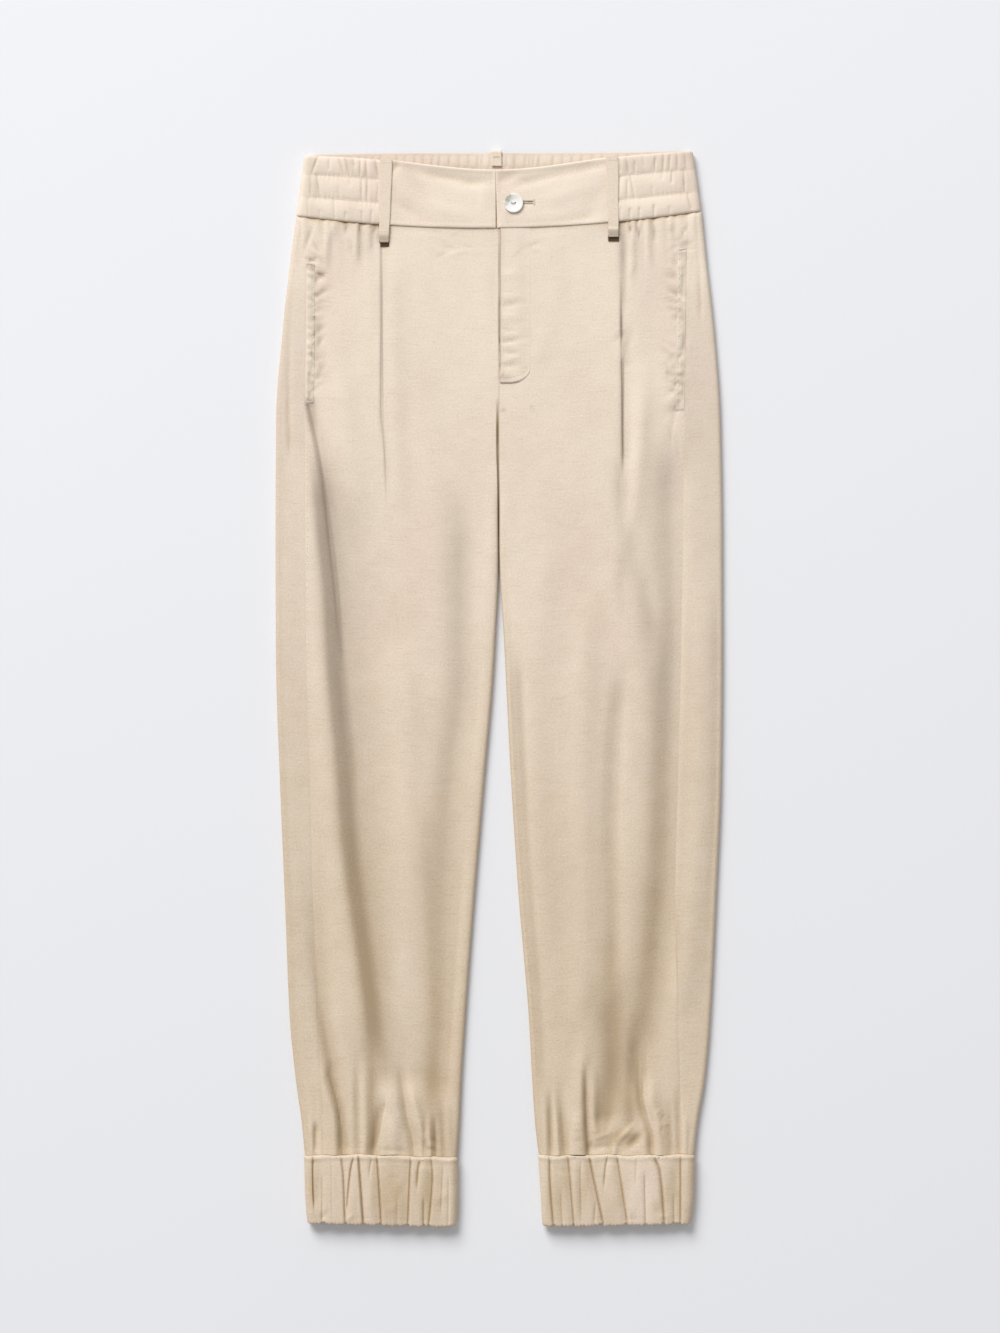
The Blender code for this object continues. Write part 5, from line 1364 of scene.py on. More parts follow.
pocketLook = {
    "top": {"right": 383.0, "left": 396.0},
    "foot": {"right": 256.0, "left": 250.0},
    "width": 7.5,
    "cloth": 0.45,
    "pucker": {"right": 0.6, "left": 0.22},
    "marks": {"right": 0.5, "left": 0.2},
    "pitch": 8.6,
}


def pocketRow(side, t, y):
    # x at a share t of the way across the pocket edge
    return legValue(side, "seam", y) - 0.6 - t * pocketLook["width"]


def addPocketEdge(side):
    # a narrow turned strip that follows the front, puckered across by its stitching
    top = pocketLook["top"][side]
    foot = pocketLook["foot"][side]
    pucker = pocketLook["pucker"][side]
    y = np.linspace(top, foot, 190)[:, None]
    t = np.concatenate([[0, 0.02, 0.06], np.linspace(0.14, 0.86, 11), [0.94, 0.98, 1]])[None, :]
    x = pocketRow(side, t, y)
    y = np.broadcast_to(y, x.shape)
    slant = y + 1.6 * np.sin(y / 23) + 3.0 * (t - 0.5)
    wave = gatherWave(slant, pocketLook["pitch"]) * (0.25 + 0.75 * np.sin(y / 19 + 1.0) ** 2)
    across = np.sin(math.pi * t) ** 0.6
    groove = -0.30 * bell(t - 0.80, 0.09) * (0.6 + 0.4 * np.sin(y / 11))
    ends = edgeRound(np.minimum(y - foot, top - y), 0.8)
    rounded = edgeRound(np.minimum(0.6 * t, 1 - t) * pocketLook["width"], 1.8) * ends
    half = pocketLook["cloth"] / 2
    relief = pucker * wave * across + groove
    middle = frontTop(side, x, y) + 0.05 + half
    trueX = signOf(side) * x
    outer = pointsAt(trueX, y, middle + (half + relief * ends) * rounded)
    inner = pointsAt(trueX, y, middle - half * rounded)
    ticks = np.clip(np.sin(slant / 3.1 + 1.5 * np.sin(y / 13)), 0, 1) ** 3 * (0.4 + 0.6 * np.sin(y / 21) ** 2)
    # painted shade in the pucker hollows, marks of soft shade, and short dark ticks along the stitching
    dusk = 0.5 * (1 - wave) * across * pucker + dentRelief(marks, trueX, y)
    dusk = dusk + pocketLook["marks"][side] * ticks * bell(t - 0.85, 0.35)
    addCloth(f"pocketEdge.{side}", f"pocket_edge_{side}", outer, inner, lengthTone(y), dusk)


flyLook = {
    "width": 28.0,
    "left": 0.7,
    "foot": 274.3,
    "turn": 13.0,
    "straight": 9.0,
    "cloth": 0.9,
}


def flyFootY(x):
    # flat near the centre, then an ellipse turning up to the side
    t = np.clip((x - flyLook["straight"]) / (flyLook["width"] - flyLook["straight"]), 0, 1)
    return flyLook["foot"] + flyLook["turn"] * (1 - np.sqrt(1 - t ** 2))


def addFly():
    # it lies on the left front and thins out towards its free edge
    left = flyLook["left"]
    right = flyLook["width"]
    t = np.concatenate([[0, 0.006, 0.02, 0.04], np.linspace(0.07, 0.93, 26), [0.96, 0.98, 0.994, 1]])[None, :]
    v = np.concatenate([np.linspace(0, 0.97, 70), [0.982, 0.991, 0.997, 1]])[:, None]
    x = mix(left, right, t) + 0 * v
    foot = flyFootY(x)
    y = mix(frontSeamY(x) - form["gap"], foot, v)
    half = flyLook["cloth"] / 2 * mix(1.0, 0.1, ease(t, 0.5, 0.97))
    rounded = edgeRound(x - left, 0.9) * edgeRound(y - foot, 0.9) * edgeRound(right - x, 0.9)
    ridge = 0.35 * bell(x - left - 1.6, 1.1) + 0.28 * bell(y - foot - 1.8, 1.4)
    middle = frontTop("left", x, y) + mix(form["gap"], 0.03, ease(t, 0.5, 1)) + half
    outer = pointsAt(x, y, middle + (half + ridge) * rounded)
    inner = pointsAt(x, y, middle - half * rounded)
    fade = 1 - 0.8 * ease(x, 13, 22)
    # painted shade in hollows, a painted shadow under the fly's curved foot, and a painted dark line along
    # its left edge where it laps over
    dusk = (0.5 * hollowShade(outer) + 0.8 * bell(y - foot, 0.9)) * fade + dentRelief(marks, x, y)
    dusk = dusk + (0.5 + 0.9 * ease(y, 282, 292)) * bell(x - left, 1.1)
    addCloth("fly", "fly_front", outer, inner, lengthTone(y), dusk)


for side in both:
    addPocketEdge(side)
addFly()
print("trim: pocket edges and fly")


cuffLook = {
    "height": 12.2,
    "wall": 4.4,
    "puff": 1.3,
    "crease": 1.15,
    "hemRise": {"right": (3.0, 0.5), "left": (2.5, 0.8)},
    "rows": 48,
    "front": 230,
    "back": 90,
    "turn": 10,
    "depth": 64.0,
}
cuffEdges = {
    "right": [
        (-420, 37.8, 174.4), (-452, 37.6, 173.8), (-484, 38.4, 171.6)],
    "left": [
        (-420, 35.8, 175.2), (-452, 38, 174.6), (-484, 39.6, 172)],
}
# painted shade on facets of the cuffs that lie in softer light, and painted light where the last number is
# below 0: the dents' numbers, and how much darker
cuffMarks = [
    (-93, -453, 90, 30, 13, 0.42), (-104, -460, 100, 22, 5, 0.2), (-66, -455, 90, 26, 5, 0.25),
    (-164, -440, 80, 14, 4, 0.2), (-130, -470, 90, 14, 5, 0.15), (54, -455, 80, 30, 9, 0.36),
    (-169, -453, 90, 30, 6, 0.3), (-60, -455, 90, 32, 14, 0.28), (124, -455, 90, 32, 17, -0.28),
    (161, -455, 86, 32, 7, 0.24), (76, -452, 75, 28, 6, 0.3), (108, -458, 70, 26, 7, 0.25),
    (150, -455, 70, 26, 6, 0.25), (44, -455, 88, 26, 4, 0.25),
]
# crease: distance from the centre line at the seam, a quarter of the way down and at the hem, span, depth,
# and its widths towards the side and towards the centre
cuffCreases = {
    "right": [
        (166.4, 166.9, 165, 0, 0.75, 2.2, 0.8, 4.2), (169.6, 169.8, 168, 0, 1, -0.7, 1.5, 1.2),
        (158.8, 158.6, 158.4, 0.35, 1, 1.1, 2.5, 1), (141.6, 139.4, 137.6, 0, 1, 1.9, 1, 2.2),
        (129.8, 133, 137.6, 0, 0.8, 1.7, 1, 2.4), (126.2, 124.8, 121.4, 0, 1, 3, 0.9, 3.4),
        (113.5, 116, 118, 0, 0.3, 0.8, 2, 1), (109.4, 108.2, 105.3, 0, 1, 2.8, 4.2, 0.9),
        (78.7, 79.6, 81.6, 0, 1, 2.3, 4.6, 0.9), (70.2, 72.6, 74.4, 0, 0.42, 1.7, 1.4, 1.8),
        (61.2, 59.4, 62.8, 0, 1, 2, 3.4, 1.1), (67.3, 67.3, 67.3, 0.62, 1, 1.3, 1.6, 1.6),
        (90, 90.5, 91.5, 0.6, 1, 0.5, 2, 2), (150.2, 150, 149.6, 0.1, 0.9, 0.4, 3, 3),
        (50, 50.5, 52.5, 0.15, 0.8, 0.7, 2.4, 2.4), (45, 45, 45.5, 0.3, 1, 0.6, 1.8, 1.8)],
    "left": [
        (45.8, 46, 49.4, 0, 1, 1.7, 1.4, 1.2), (62, 63.6, 67.6, 0, 1, 2.1, 0.9, 3.2),
        (73.4, 73.4, 74, 0.1, 0.9, 0.6, 1.7, 1.7), (80.9, 84.2, 94.2, 0, 1, 3, 0.9, 4),
        (98, 95.4, 92.6, 0, 0.42, 1.3, 3, 1.2), (105.8, 108.6, 115.9, 0, 1, 2.6, 0.9, 3),
        (130.8, 131, 132, 0.3, 1, 1.1, 3.4, 1.6), (138.5, 144.9, 149, 0, 1, 2.6, 1, 1.8),
        (163.2, 163.2, 163.2, 0.05, 1, 2.1, 0.8, 6), (172.2, 171.8, 170.8, 0.3, 1, 1.2, 1.2, 1.6),
        (54.5, 55, 57, 0.5, 1, 0.6, 1.7, 1.7), (124, 123, 121.5, 0, 0.4, 0.5, 1.8, 1.8),
        (88.5, 88, 85.5, 0.7, 1, 0.6, 1.6, 1.6), (155, 156.5, 157.5, 0.6, 1, 0.7, 1.7, 1.7)],
}
# dent: distance from the centre line, way down the cuff, direction, half length and half width, rise
cuffDents = {
    "right": [
        (92, 18, 100, 12, 7, -0.8), (86, 30, 60, 9, 4, -0.4), (56, 24, 150, 9, 4, -0.5),
        (52, 36, 20, 9, 4, 0.4), (116, 40, 85, 16, 4, 0.5), (150, 30, 88, 24, 5, 0.5),
        (97, 48, 30, 8, 4, 0.4), (162, 34, 86, 16, 3, -0.6), (156, 55, 60, 4, 2.5, -0.9),
        (134, 57, 40, 5, 2, 0.7), (66, 12, 170, 7, 3, 0.4)],
    "left": [
        (60, 14, 25, 9, 3, -0.6), (98, 16, 80, 9, 5, 0.7), (122, 30, 95, 22, 6, 0.6),
        (143, 50, 75, 7, 4, -0.9), (121, 57, 60, 5, 3, -0.7), (158, 22, 80, 10, 4, -0.6),
        (68, 20, 88, 14, 3, 0.6), (148, 56, 20, 5, 2, 0.6), (170, 55, 60, 5, 2, -0.8),
        (76, 38, 85, 14, 4, -0.4), (54, 34, 88, 18, 4, -0.3)],
}


def cuffEdge(side, column, y):
    rows = np.array(cuffEdges[side])
    return curveThrough(rows[:, 0], rows[:, column], y)


def cuffRelief(creases, x, v):
    # an even puff with a narrow bell taken out of it along each crease
    total = np.full(np.broadcast(x, v).shape, cuffLook["puff"])
    total = total + 0.35 * np.sin(math.pi * v) + 0.3 * crumple(x * 1.6, v * 60)
    for seamX, quarterX, hemX, start, end, depth, outward, inward in creases:
        across = x - curveThrough((0, 0.25, 1), (seamX, quarterX, hemX), v)
        fade = ease(v, start - 0.1, start + 0.1) if start > 0 else 1.0
        fade = fade * ((1 - ease(v, end - 0.12, end + 0.1)) if end < 1 else 1.0)
        line = 0.55 * bell(across, 0.85) + 0.45 * bell(across, np.where(across > 0, outward, inward) * 1.3)
        total = total - cuffLook["crease"] * depth * line * fade
    return total


def addCuff(side):
    # a racetrack tube: front from the side inwards, inner turn, back, outer turn
    sign = signOf(side)
    half = cuffLook["wall"] / 2
    reach = cuffLook["height"] / 2
    radius = reach - half
    fine = np.linspace(0, 1, cuffLook["rows"])
    v = np.concatenate([[0, 0.0035, 0.012, 0.024], fine[2:-2], [0.976, 0.988, 0.9965, 1]])[:, None]
    y = mix(form["cuffSeam"] - form["gap"] / 2, form["cuffHem"], v)
    low = cuffEdge(side, 1, y) + reach
    high = cuffEdge(side, 2, y) - reach
    frontX = mix(high, low, np.linspace(0, 1, cuffLook["front"])[None, :])
    backX = mix(low, high, np.linspace(0, 1, cuffLook["back"])[None, :])
    angles = np.linspace(math.pi / 2, -math.pi / 2, cuffLook["turn"] + 2)[1:-1]
    turned = angles[::-1]
    x = np.concatenate([frontX, low - radius * np.cos(angles), backX, high + radius * np.cos(turned)], axis=1)
    flatFront = np.zeros(cuffLook["front"])
    flatBack = np.zeros(cuffLook["back"])
    normalX = np.concatenate([flatFront, -np.cos(angles), flatBack, np.cos(turned)])
    normalZ = np.concatenate([flatFront + 1, np.sin(angles), flatBack - 1, np.sin(turned)])
    down = v * cuffLook["depth"]
    up = cuffLook["depth"] - down
    front = cuffRelief(cuffCreases[side], frontX, v) + dentRelief(cuffDents[side], frontX, down)
    hidden = [(place, place + chance.uniform(-2, 2), place + chance.uniform(-5, 5), 0, 1,
               chance.uniform(0.6, 1.6), 1.9, 1.9) for place in np.sort(chance.uniform(45, 168, 13))]
    back = np.clip(cuffRelief(hidden, backX, v) - cuffLook["puff"] - 0.6, -2.0, 0)
    innerTurn = front[:, -1:] * (1 + np.sin(angles)) / 2
    outerTurn = front[:, :1] * (1 + np.sin(turned)) / 2
    relief = np.concatenate([front, innerTurn, back, outerTurn], axis=1)
    upper = ease(normalZ, -0.2, 0.6)
    pulled = np.clip((cuffLook["puff"] - relief[12:13]) / 3, 0, 1)
    ridge = bell(down - 2.3 - 0.5 * np.sin(x / 6.1), 2.0) * (1.3 - 0.7 * pulled)
    ridge = ridge - 0.15 * bell(down - 6.6, 1.6) - 0.15 * bell(up - 6, 2.0)
    relief = relief * mix(0.25, 1.0, ease(down, 2, 6.5)) * mix(0.7, 1, ease(up, 0, 6)) + ridge * upper
    scallop = 1.3 * np.clip(cuffLook["puff"] - relief[-9:-8], 0, 1.6) * ease(v, 0.9, 1) * upper
    outerRise, innerRise = cuffLook["hemRise"][side]
    hemShift = mix(innerRise, outerRise, ease(x, 45, 170)) + 0.35 * np.sin(x * 1.9) + 0.25 * np.sin(x * 0.77)
    y = y + scallop + mix(cuffSeamY(sign * x) - form["cuffSeam"], hemShift, v)
    z = reach + radius * normalZ
    rounded = edgeRound(np.minimum(down, up), 1.9)
    outward = (half + relief) * rounded
    inward = half * rounded
    outer = pointsAt(sign * (x + normalX * outward), y, z + normalZ * outward)
    inner = pointsAt(sign * (x - normalX * inward), y, z - normalZ * inward)
    floor = np.minimum(outer[..., 2].min(), 0)
    for sheet in (outer, inner):
        sheet[..., 2] -= floor
    # painted shade in hollows, on right-facing walls and on the listed facets, on the parts that face up,
    # plus part of the darkening down the leg
    tone = 0.3 * (hollowShade(outer) + wallShade(outer, True))
    tone = tone + dentRelief(cuffMarks, outer[..., 0], outer[..., 1])
    addCloth(f"cuff.{side}", f"cuff_{side}", outer, inner, tone * upper + 0.7 * lengthTone(y), wrap=True)


for side in both:
    addCuff(side)
print("cuffs: two gathered tubes")


# small parts: button, thread and zip

threadLook = {
    "colour": (0.86, 0.80, 0.715),
    "deep": (0.72, 0.64, 0.53),
    "twist": 1300.0,
    "roughness": 0.62,
    "sheen": 0.25,
}
pearlLook = {
    "pale": (0.93, 0.915, 0.885),
    "green": (0.46, 0.47, 0.39),
    "rose": (0.93, 0.865, 0.84),
    "pitShade": (0.16, 0.155, 0.14),
    # painted grey-green shade on the upper left of the dish, which faces away from the light: each cloud's
    # centre, reach and strength
    "clouds": [((0.0079, 0.4412, 0.0124), 0.0058, 0.95), ((0.0060, 0.4350, 0.0124), 0.0026, 0.5)],
    "lines": 330.0,
    "polish": 0.5,
}
tapeLook = {
    "tape": (0.80, 0.73, 0.63),
    "coil": (0.88, 0.84, 0.77),
    "middle": 0.0130,
    "coilHalf": 0.0021,
    "ribs": 1400.0,
    "teeth": 620.0,
}


def makeThread():
    # two plies twisted round each other, drawn as slanting bands over the piece's own space
    material, sheet, shader = newMaterial("thread")
    place = sheet.place()
    slant = sheet.add("ShaderNodeMapping", {"Vector": place, "Rotation": (0.4, 0.3, 0.7)}).outputs[0]
    ply = sheet.add("ShaderNodeTexWave", {"Vector": slant, "Scale": threadLook["twist"], "Distortion": 0.6})
    lint = sheet.noise(place, 900.0, 3.0)
    shade = sheet.math("MULTIPLY", ply.outputs["Fac"], sheet.remap(lint, 0.3, 0.7, 0.6, 1.0))
    sheet.feed(shader, {"Base Color": sheet.blend(shade, threadLook["deep"], threadLook["colour"]),
                        "Normal": sheet.bump(shade, 0.00012, 0.7), "Roughness": threadLook["roughness"],
                        "Sheen Weight": threadLook["sheen"]})
    return material


def makePearl():
    # broad cloudy zones of grey green and rose in near white, painted grey-green shade on the upper left of
    # the dish, faint growth lines, painted shade in the thread holes and a clear polish
    material, sheet, shader = newMaterial("pearl")
    place = sheet.place()
    cloud = sheet.noise(place, 120.0, 2.0, (1, 1.5, 1))
    blush = sheet.noise(place, 210.0)
    values = {"Vector": place, "Scale": pearlLook["lines"], "Distortion": 7.0, "Detail": 2.0}
    lines = sheet.add("ShaderNodeTexWave", values).outputs["Fac"]
    zone = sheet.remap(cloud, 0.5, 0.75, 0.0, 0.35)
    for centre, reach, strength in pearlLook["clouds"]:
        away = sheet.vector("DISTANCE", place, centre).outputs["Value"]
        away = sheet.math("ADD", away, sheet.remap(blush, 0.3, 0.7, -0.0012, 0.0012))
        zone = sheet.math("MAXIMUM", zone, sheet.remap(away, reach * 0.45, reach, strength, 0.0))
    colour = sheet.blend(zone, pearlLook["pale"], pearlLook["green"])
    colour = sheet.blend(sheet.remap(blush, 0.45, 0.7, 0.0, 0.5), colour, pearlLook["rose"])
    banded = sheet.vector("SCALE", colour, sheet.remap(lines, 0.0, 1.0, 0.94, 1.0)).outputs[0]
    sheet.feed(shader, {"Base Color": sheet.blend(sheet.read("tone"), banded, pearlLook["pitShade"]),
                        "Normal": sheet.bump(lines, 0.00004, 0.3),
                        "Roughness": sheet.remap(cloud, 0.3, 0.7, 0.16, 0.3),
                        "Coat Weight": pearlLook["polish"], "Coat Roughness": 0.12})
    return material


def makeTape():
    # ribbed tape with a nylon coil up its middle, told apart by the distance from the zip's centre line
    material, sheet, shader = newMaterial("zipTape")
    place = sheet.place()
    split = sheet.add("ShaderNodeSeparateXYZ", {0: place}).outputs
    offset = sheet.math("ABSOLUTE", sheet.math("SUBTRACT", split[0], tapeLook["middle"]))
    isCoil = sheet.remap(offset, tapeLook["coilHalf"], tapeLook["coilHalf"] + 0.0002, 1.0, 0.0)
    slant = sheet.math("ADD", split[1], offset)
    rib = sheet.math("SINE", sheet.math("MULTIPLY", slant, tapeLook["ribs"] * math.pi))
    rib = sheet.math("ABSOLUTE", rib)
    tooth = sheet.math("SINE", sheet.math("MULTIPLY", split[1], tapeLook["teeth"] * 2 * math.pi))
    tooth = sheet.remap(tooth, -1.0, 1.0, 0.3, 1.0)
    lint = sheet.noise(place, 700.0, 3.0)
    woven = sheet.math("MULTIPLY", rib, sheet.remap(lint, 0.3, 0.7, 0.75, 1.0))
    height = sheet.add("ShaderNodeMix", {0: isCoil, 2: woven, 3: tooth}, data_type="FLOAT").outputs[0]
    base = sheet.blend(isCoil, tapeLook["tape"], tapeLook["coil"])
    shaded = sheet.vector("SCALE", base, sheet.remap(height, 0, 1, 0.7, 1.0)).outputs[0]
    sheet.feed(shader, {"Base Color": shaded, "Normal": sheet.bump(height, 0.0003, 0.6),
                        "Roughness": sheet.remap(isCoil, 0.0, 1.0, 0.85, 0.35)})
    return material


thread = makeThread()
pearl = makePearl()

buttonLook = {
    "centre": (13.0, 435.9),
    "seat": 10.1,
    "steps": 96,
    "holeOffset": 1.5,
    "holeRadius": 0.82,
    "dish": 1.3,
    "rim": 2.6,
    "pitFloor": 0.45,
    "thin": 0.72,
    # radius and height round the edge and under it
    "edge": [(8.12, 2.6), (8.3, 2.57), (8.5, 2.42), (8.62, 2.15), (8.68, 1.8), (8.68, 1.4), (8.5, 1.0),
             (8.1, 0.68), (7.5, 0.4), (6.9, 0.12), (6.5, 0.02), (6.0, 0.0), (3.0, 0.0), (0.03, 0.0)],
}


def addButton():
    # a turned disc: a dished face inside a rolled rim, and two deep round pits for the thread
    face = np.concatenate([np.linspace(0.03, 2.7, 24), np.linspace(3.0, 8.0, 18)])
    height = mix(buttonLook["dish"], buttonLook["rim"], ease(face, 2.4, 8.4))
    rim = np.array(buttonLook["edge"])
    radius = np.concatenate([face, rim[:, 0]])[:, None]
    angle = np.linspace(0, 2 * math.pi, buttonLook["steps"], endpoint=False)
    x = radius * np.cos(angle)
    y = radius * np.sin(angle)
    away = np.hypot(np.abs(x) - buttonLook["holeOffset"], y)
    onFace = np.arange(len(radius))[:, None] < len(face)
    inside = (1 - ease(away, buttonLook["holeRadius"] - 0.2, buttonLook["holeRadius"])) * onFace
    z = mix(np.concatenate([height, rim[:, 1]])[:, None], buttonLook["pitFloor"], inside)
    centreX, centreY = buttonLook["centre"]
    points = pointsAt(x + centreX, y + centreY, z * buttonLook["thin"] + buttonLook["seat"]).reshape(-1, 3)
    quads, ends = ringFaces(*x.shape, flip=True)
    piece = newPiece("button.disc", points, quads.tolist() + ends.tolist(), pearl)
    # the tone paints shade into the two pits
    keepValues(piece.data, "tone", inside)
    settle(piece, "button")


def tubeParts(route, radius, around=8):
    # rings square to the route, each turned as little as possible from the one before
    route = np.array(route, float)
    way = np.gradient(route, axis=0)
    way /= np.linalg.norm(way, axis=1)[:, None]
    side = np.cross(way, (0.13, 0.17, 0.97))
    side /= np.linalg.norm(side, axis=1)[:, None]
    lift = np.cross(side, way)
    angle = np.linspace(0, 2 * math.pi, around, endpoint=False)[None, :, None]
    ring = np.cos(angle) * side[:, None, :] + np.sin(angle) * lift[:, None, :]
    return (route[:, None, :] + radius * ring).reshape(-1, 3)


strandLook = {
    "radius": 0.2,
    "foot": 7.6,
    "bridge": 11.85,
    "around": 8,
    # place of each strand in the left hole and in the right hole, from the hole's centre
    "ends": [(-0.36, 0.22, -0.42, 0.3), (-0.3, -0.3, -0.5, -0.02), (0.16, 0.4, -0.3, 0.52),
             (0.2, -0.12, -0.36, -0.36)],
    # over the hole's edge: how far in, the share of its sideways place, and how far below the bridge
    "bend": [(0.0, 1.0, 1.0), (0.05, 1.0, 0.45), (0.3, 0.95, 0.12)],
}


def addButtonThread():
    # four strands up through one hole, over the face and down through the other
    middleX, middleY = buttonLook["centre"]
    reach = buttonLook["holeOffset"]
    clouds = []
    for number, (leftX, leftY, rightX, rightY) in enumerate(strandLook["ends"]):
        top = strandLook["bridge"] + 0.09 * (number % 2)
        left = middleX - reach + leftX
        right = middleX + reach + rightX
        bend = strandLook["bend"]
        up = [(left + step, middleY + leftY * share, top - drop) for step, share, drop in bend]
        down = [(right - step, middleY + rightY * share, top - drop) for step, share, drop in bend]
        over = [(left + 0.75, middleY + leftY * 0.8, top),
                (middleX, middleY + (leftY + rightY) * 0.4, top + 0.05),
                (right - 0.7, middleY + rightY * 0.8, top)]
        route = [(left, middleY + leftY, strandLook["foot"]), *up, *over, *down[::-1],
                 (right, middleY + rightY, strandLook["foot"])]
        clouds.append(tubeParts(route, strandLook["radius"], strandLook["around"]))
    quads, ends = ringFaces(len(route), strandLook["around"])
    starts = np.arange(len(clouds))[:, None] * len(clouds[0])
    faces = [(start + part).tolist() for start in starts for part in (*quads, *ends)]
    settle(newPiece("button.thread", np.concatenate(clouds), faces, thread), "button_thread")


addButton()
addButtonThread()
bpy.data.objects["zip"].data.materials.clear()
bpy.data.objects["zip"].data.materials.append(makeTape())
print("small parts: button, its thread and the zip")


# short stitches laid on the finished cloth: each is a roll of six rings, thin and sunk at both ends
stitchLook = {
    "along": (-0.5, -0.38, -0.14, 0.14, 0.38, 0.5),
    "girth": (0.35, 0.8, 1.0, 1.0, 0.8, 0.35),
    "sink": (-1.2, -0.3, 0.25, 0.25, -0.3, -1.2),
    "around": 6,
    "dropFrom": 40.0,
}


def dropOnto(piece, xs, ys):
    # where a straight line down through each place meets the piece, and the surface's direction there
    places = []
    normals = []
    for x, y in zip(xs, ys):
        start = mathutils.Vector((x, y, stitchLook["dropFrom"])) * mm
        hit, place, normal = piece.ray_cast(start, mathutils.Vector((0, 0, -1)))[:3]
        places.append(np.array(place) / mm if hit else (x, y, np.nan))
        normals.append(normal)
    return np.array(places), np.array(normals)


def rowAlong(xs, ys, pitch, jitter):
    # evenly spaced places on a route, and the way it runs at each
    route = np.column_stack([xs, ys])
    place = np.concatenate([[0], np.cumsum(np.linalg.norm(np.diff(route, axis=0), axis=1))])
    at = np.arange(pitch / 2, place[-1], pitch)
    at = at + jitter * pitch * chance.uniform(-1, 1, len(at))
    before, here, after = [[np.interp(at + step, place, along) for along in (xs, ys)]
                           for step in (-0.5, 0, 0.5)]
    return here[0], here[1], np.arctan2(after[1] - before[1], after[0] - before[0])


def addStitches(name, rows):
    # rows: cloth piece, xs, ys, direction, and length, width and height
    around = stitchLook["around"]
    angle = np.linspace(0, 2 * math.pi, around, endpoint=False)
    along, girth, sink = [np.array(stitchLook[label])[:, None] for label in ("along", "girth", "sink")]
    clouds = []
    for cloth, xs, ys, turn, (length, width, height) in rows:
        places, normals = dropOnto(bpy.data.objects[cloth], xs, ys)
        turn = np.broadcast_to(turn, len(xs))
        found = ~np.isnan(places[:, 2])
        places, normals, turn = places[found], normals[found], turn[found]
        way = np.column_stack([np.cos(turn), np.sin(turn), np.zeros(len(turn))])
        way -= normals * np.einsum("ij,ij->i", way, normals)[:, None]
        way /= np.linalg.norm(way, axis=1)[:, None]
        a = along * length + 0 * angle
        b = girth * width / 2 * np.cos(angle)
        c = girth * height / 2 * np.sin(angle) + sink * height / 2
        cloud = places[:, None, :]
        for amount, axis in ((a, way), (b, np.cross(normals, way)), (c, normals)):
            cloud = cloud + amount.ravel()[None, :, None] * axis[:, None, :]
        clouds.append(cloud.reshape(-1, 3))
    points = np.concatenate(clouds)
    quads, ends = ringFaces(len(along), around)
    starts = np.arange(0, len(points), len(along) * around)[:, None, None]
    faces = (starts + quads).reshape(-1, 4).tolist() + (starts + ends).reshape(-1, around).tolist()
    settle(newPiece(name, points, faces, thread))


sewingLook = {
    "elasticRow": (3.0, 0.12),     # pitch and how far it wanders, as a share
    "pocketRow": (5.7, 0.15),
    "sideRow": (5.7, 0.2),
    "flyRow": (2.9, 0.1),
    "cuffRow": (3.3, 0.45),
    "pocketShare": 0.8,            # place of the row across the pocket edge
    "sideSpan": {"right": (248, -60), "left": (246, -40)},
    "flyInset": {0.0: 27.6, 4.3: 23.6},   # inset of each row from the fly's foot, and where it fades out
    # length, width and height of each kind of stitch
    "elastic": (2.1, 0.42, 0.4),
    "pocket": (2.9, 0.7, 0.7),
    "pocketTack": (1.9, 0.62, 0.6),
    "side": (2.4, 0.55, 0.5),
    "fly": (2.0, 0.42, 0.4),
    "loopTack": (1.5, 0.5, 0.4),
    "lip": (0.95, 0.4, 0.5),
    "bar": (1.5, 0.5, 0.5),
    "cuff": (2.2, 0.75, 0.7),
}


def addElasticRows():
    # two rows on each side of the front, in the pinched lines between the channels
    rows = []
    for side in both:
        x = signOf(side) * np.linspace(104, 174, 60)
        for fraction in elastic["rowFractions"]:
            y = mix(frontSeamY(x), frontTopY(x), fraction)
            row = rowAlong(x, y, *sewingLook["elasticRow"])
            rows.append(("waistband.elastic", *row, sewingLook["elastic"]))
    addStitches("stitches.elastic", rows)


def addPocketRows():
    # the row that holds each pocket edge, its end tacks, and the wider-spaced row down the side seam
    rows = []
    for side in both:
        sign = signOf(side)
        top = pocketLook["top"][side]
        foot = pocketLook["foot"][side]
        edge = f"pocketEdge.{side}"
        y = np.linspace(top - 2, foot + 2, 80)
        x = sign * pocketRow(side, sewingLook["pocketShare"], y)
        rows.append((edge, *rowAlong(x, y, *sewingLook["pocketRow"]), sewingLook["pocket"]))
        for place in (top - 1.5, foot + 1.5):
            y = np.full(9, place)
            x = sign * pocketRow(side, np.linspace(0.12, 0.88, 9), y)
            rows.append((edge, x, y, math.pi / 2, sewingLook["pocketTack"]))
        y = np.linspace(*sewingLook["sideSpan"][side], 120)
        x = sign * (legValue(side, "seam", y) - 1.9)
        rows.append((f"frontPanel.{side}", *rowAlong(x, y, *sewingLook["sideRow"]), sewingLook["side"]))
    addStitches("stitches.pockets", rows)


def addFlyRows():
    # two rows along the curved foot of the fly, the inner one fading out sooner
    rows = []
    for inset, end in sewingLook["flyInset"].items():
        x = np.linspace(3.0, end, 80)
        y = flyFootY(x + 0.35 * inset) + 1.3 + inset
        rows.append(("fly", *rowAlong(x, y, *sewingLook["flyRow"]), sewingLook["fly"]))
    addStitches("stitches.fly", rows)


def addLoopTacks():
    # close cross stitches at the head and at the seam of each front loop
    rows = []
    for side in both:
        x = loopLook["topX"][side]
        for place in (float(frontTopY(x)) - 3.2, float(frontSeamY(x)) - 6.0):
            xs = frontLoopX(side, place) + np.linspace(-3.9, 3.9, 12)
            rows.append((f"beltLoop.{side}", xs, np.full(12, place), math.pi / 2, sewingLook["loopTack"]))
    addStitches("stitches.loops", rows)


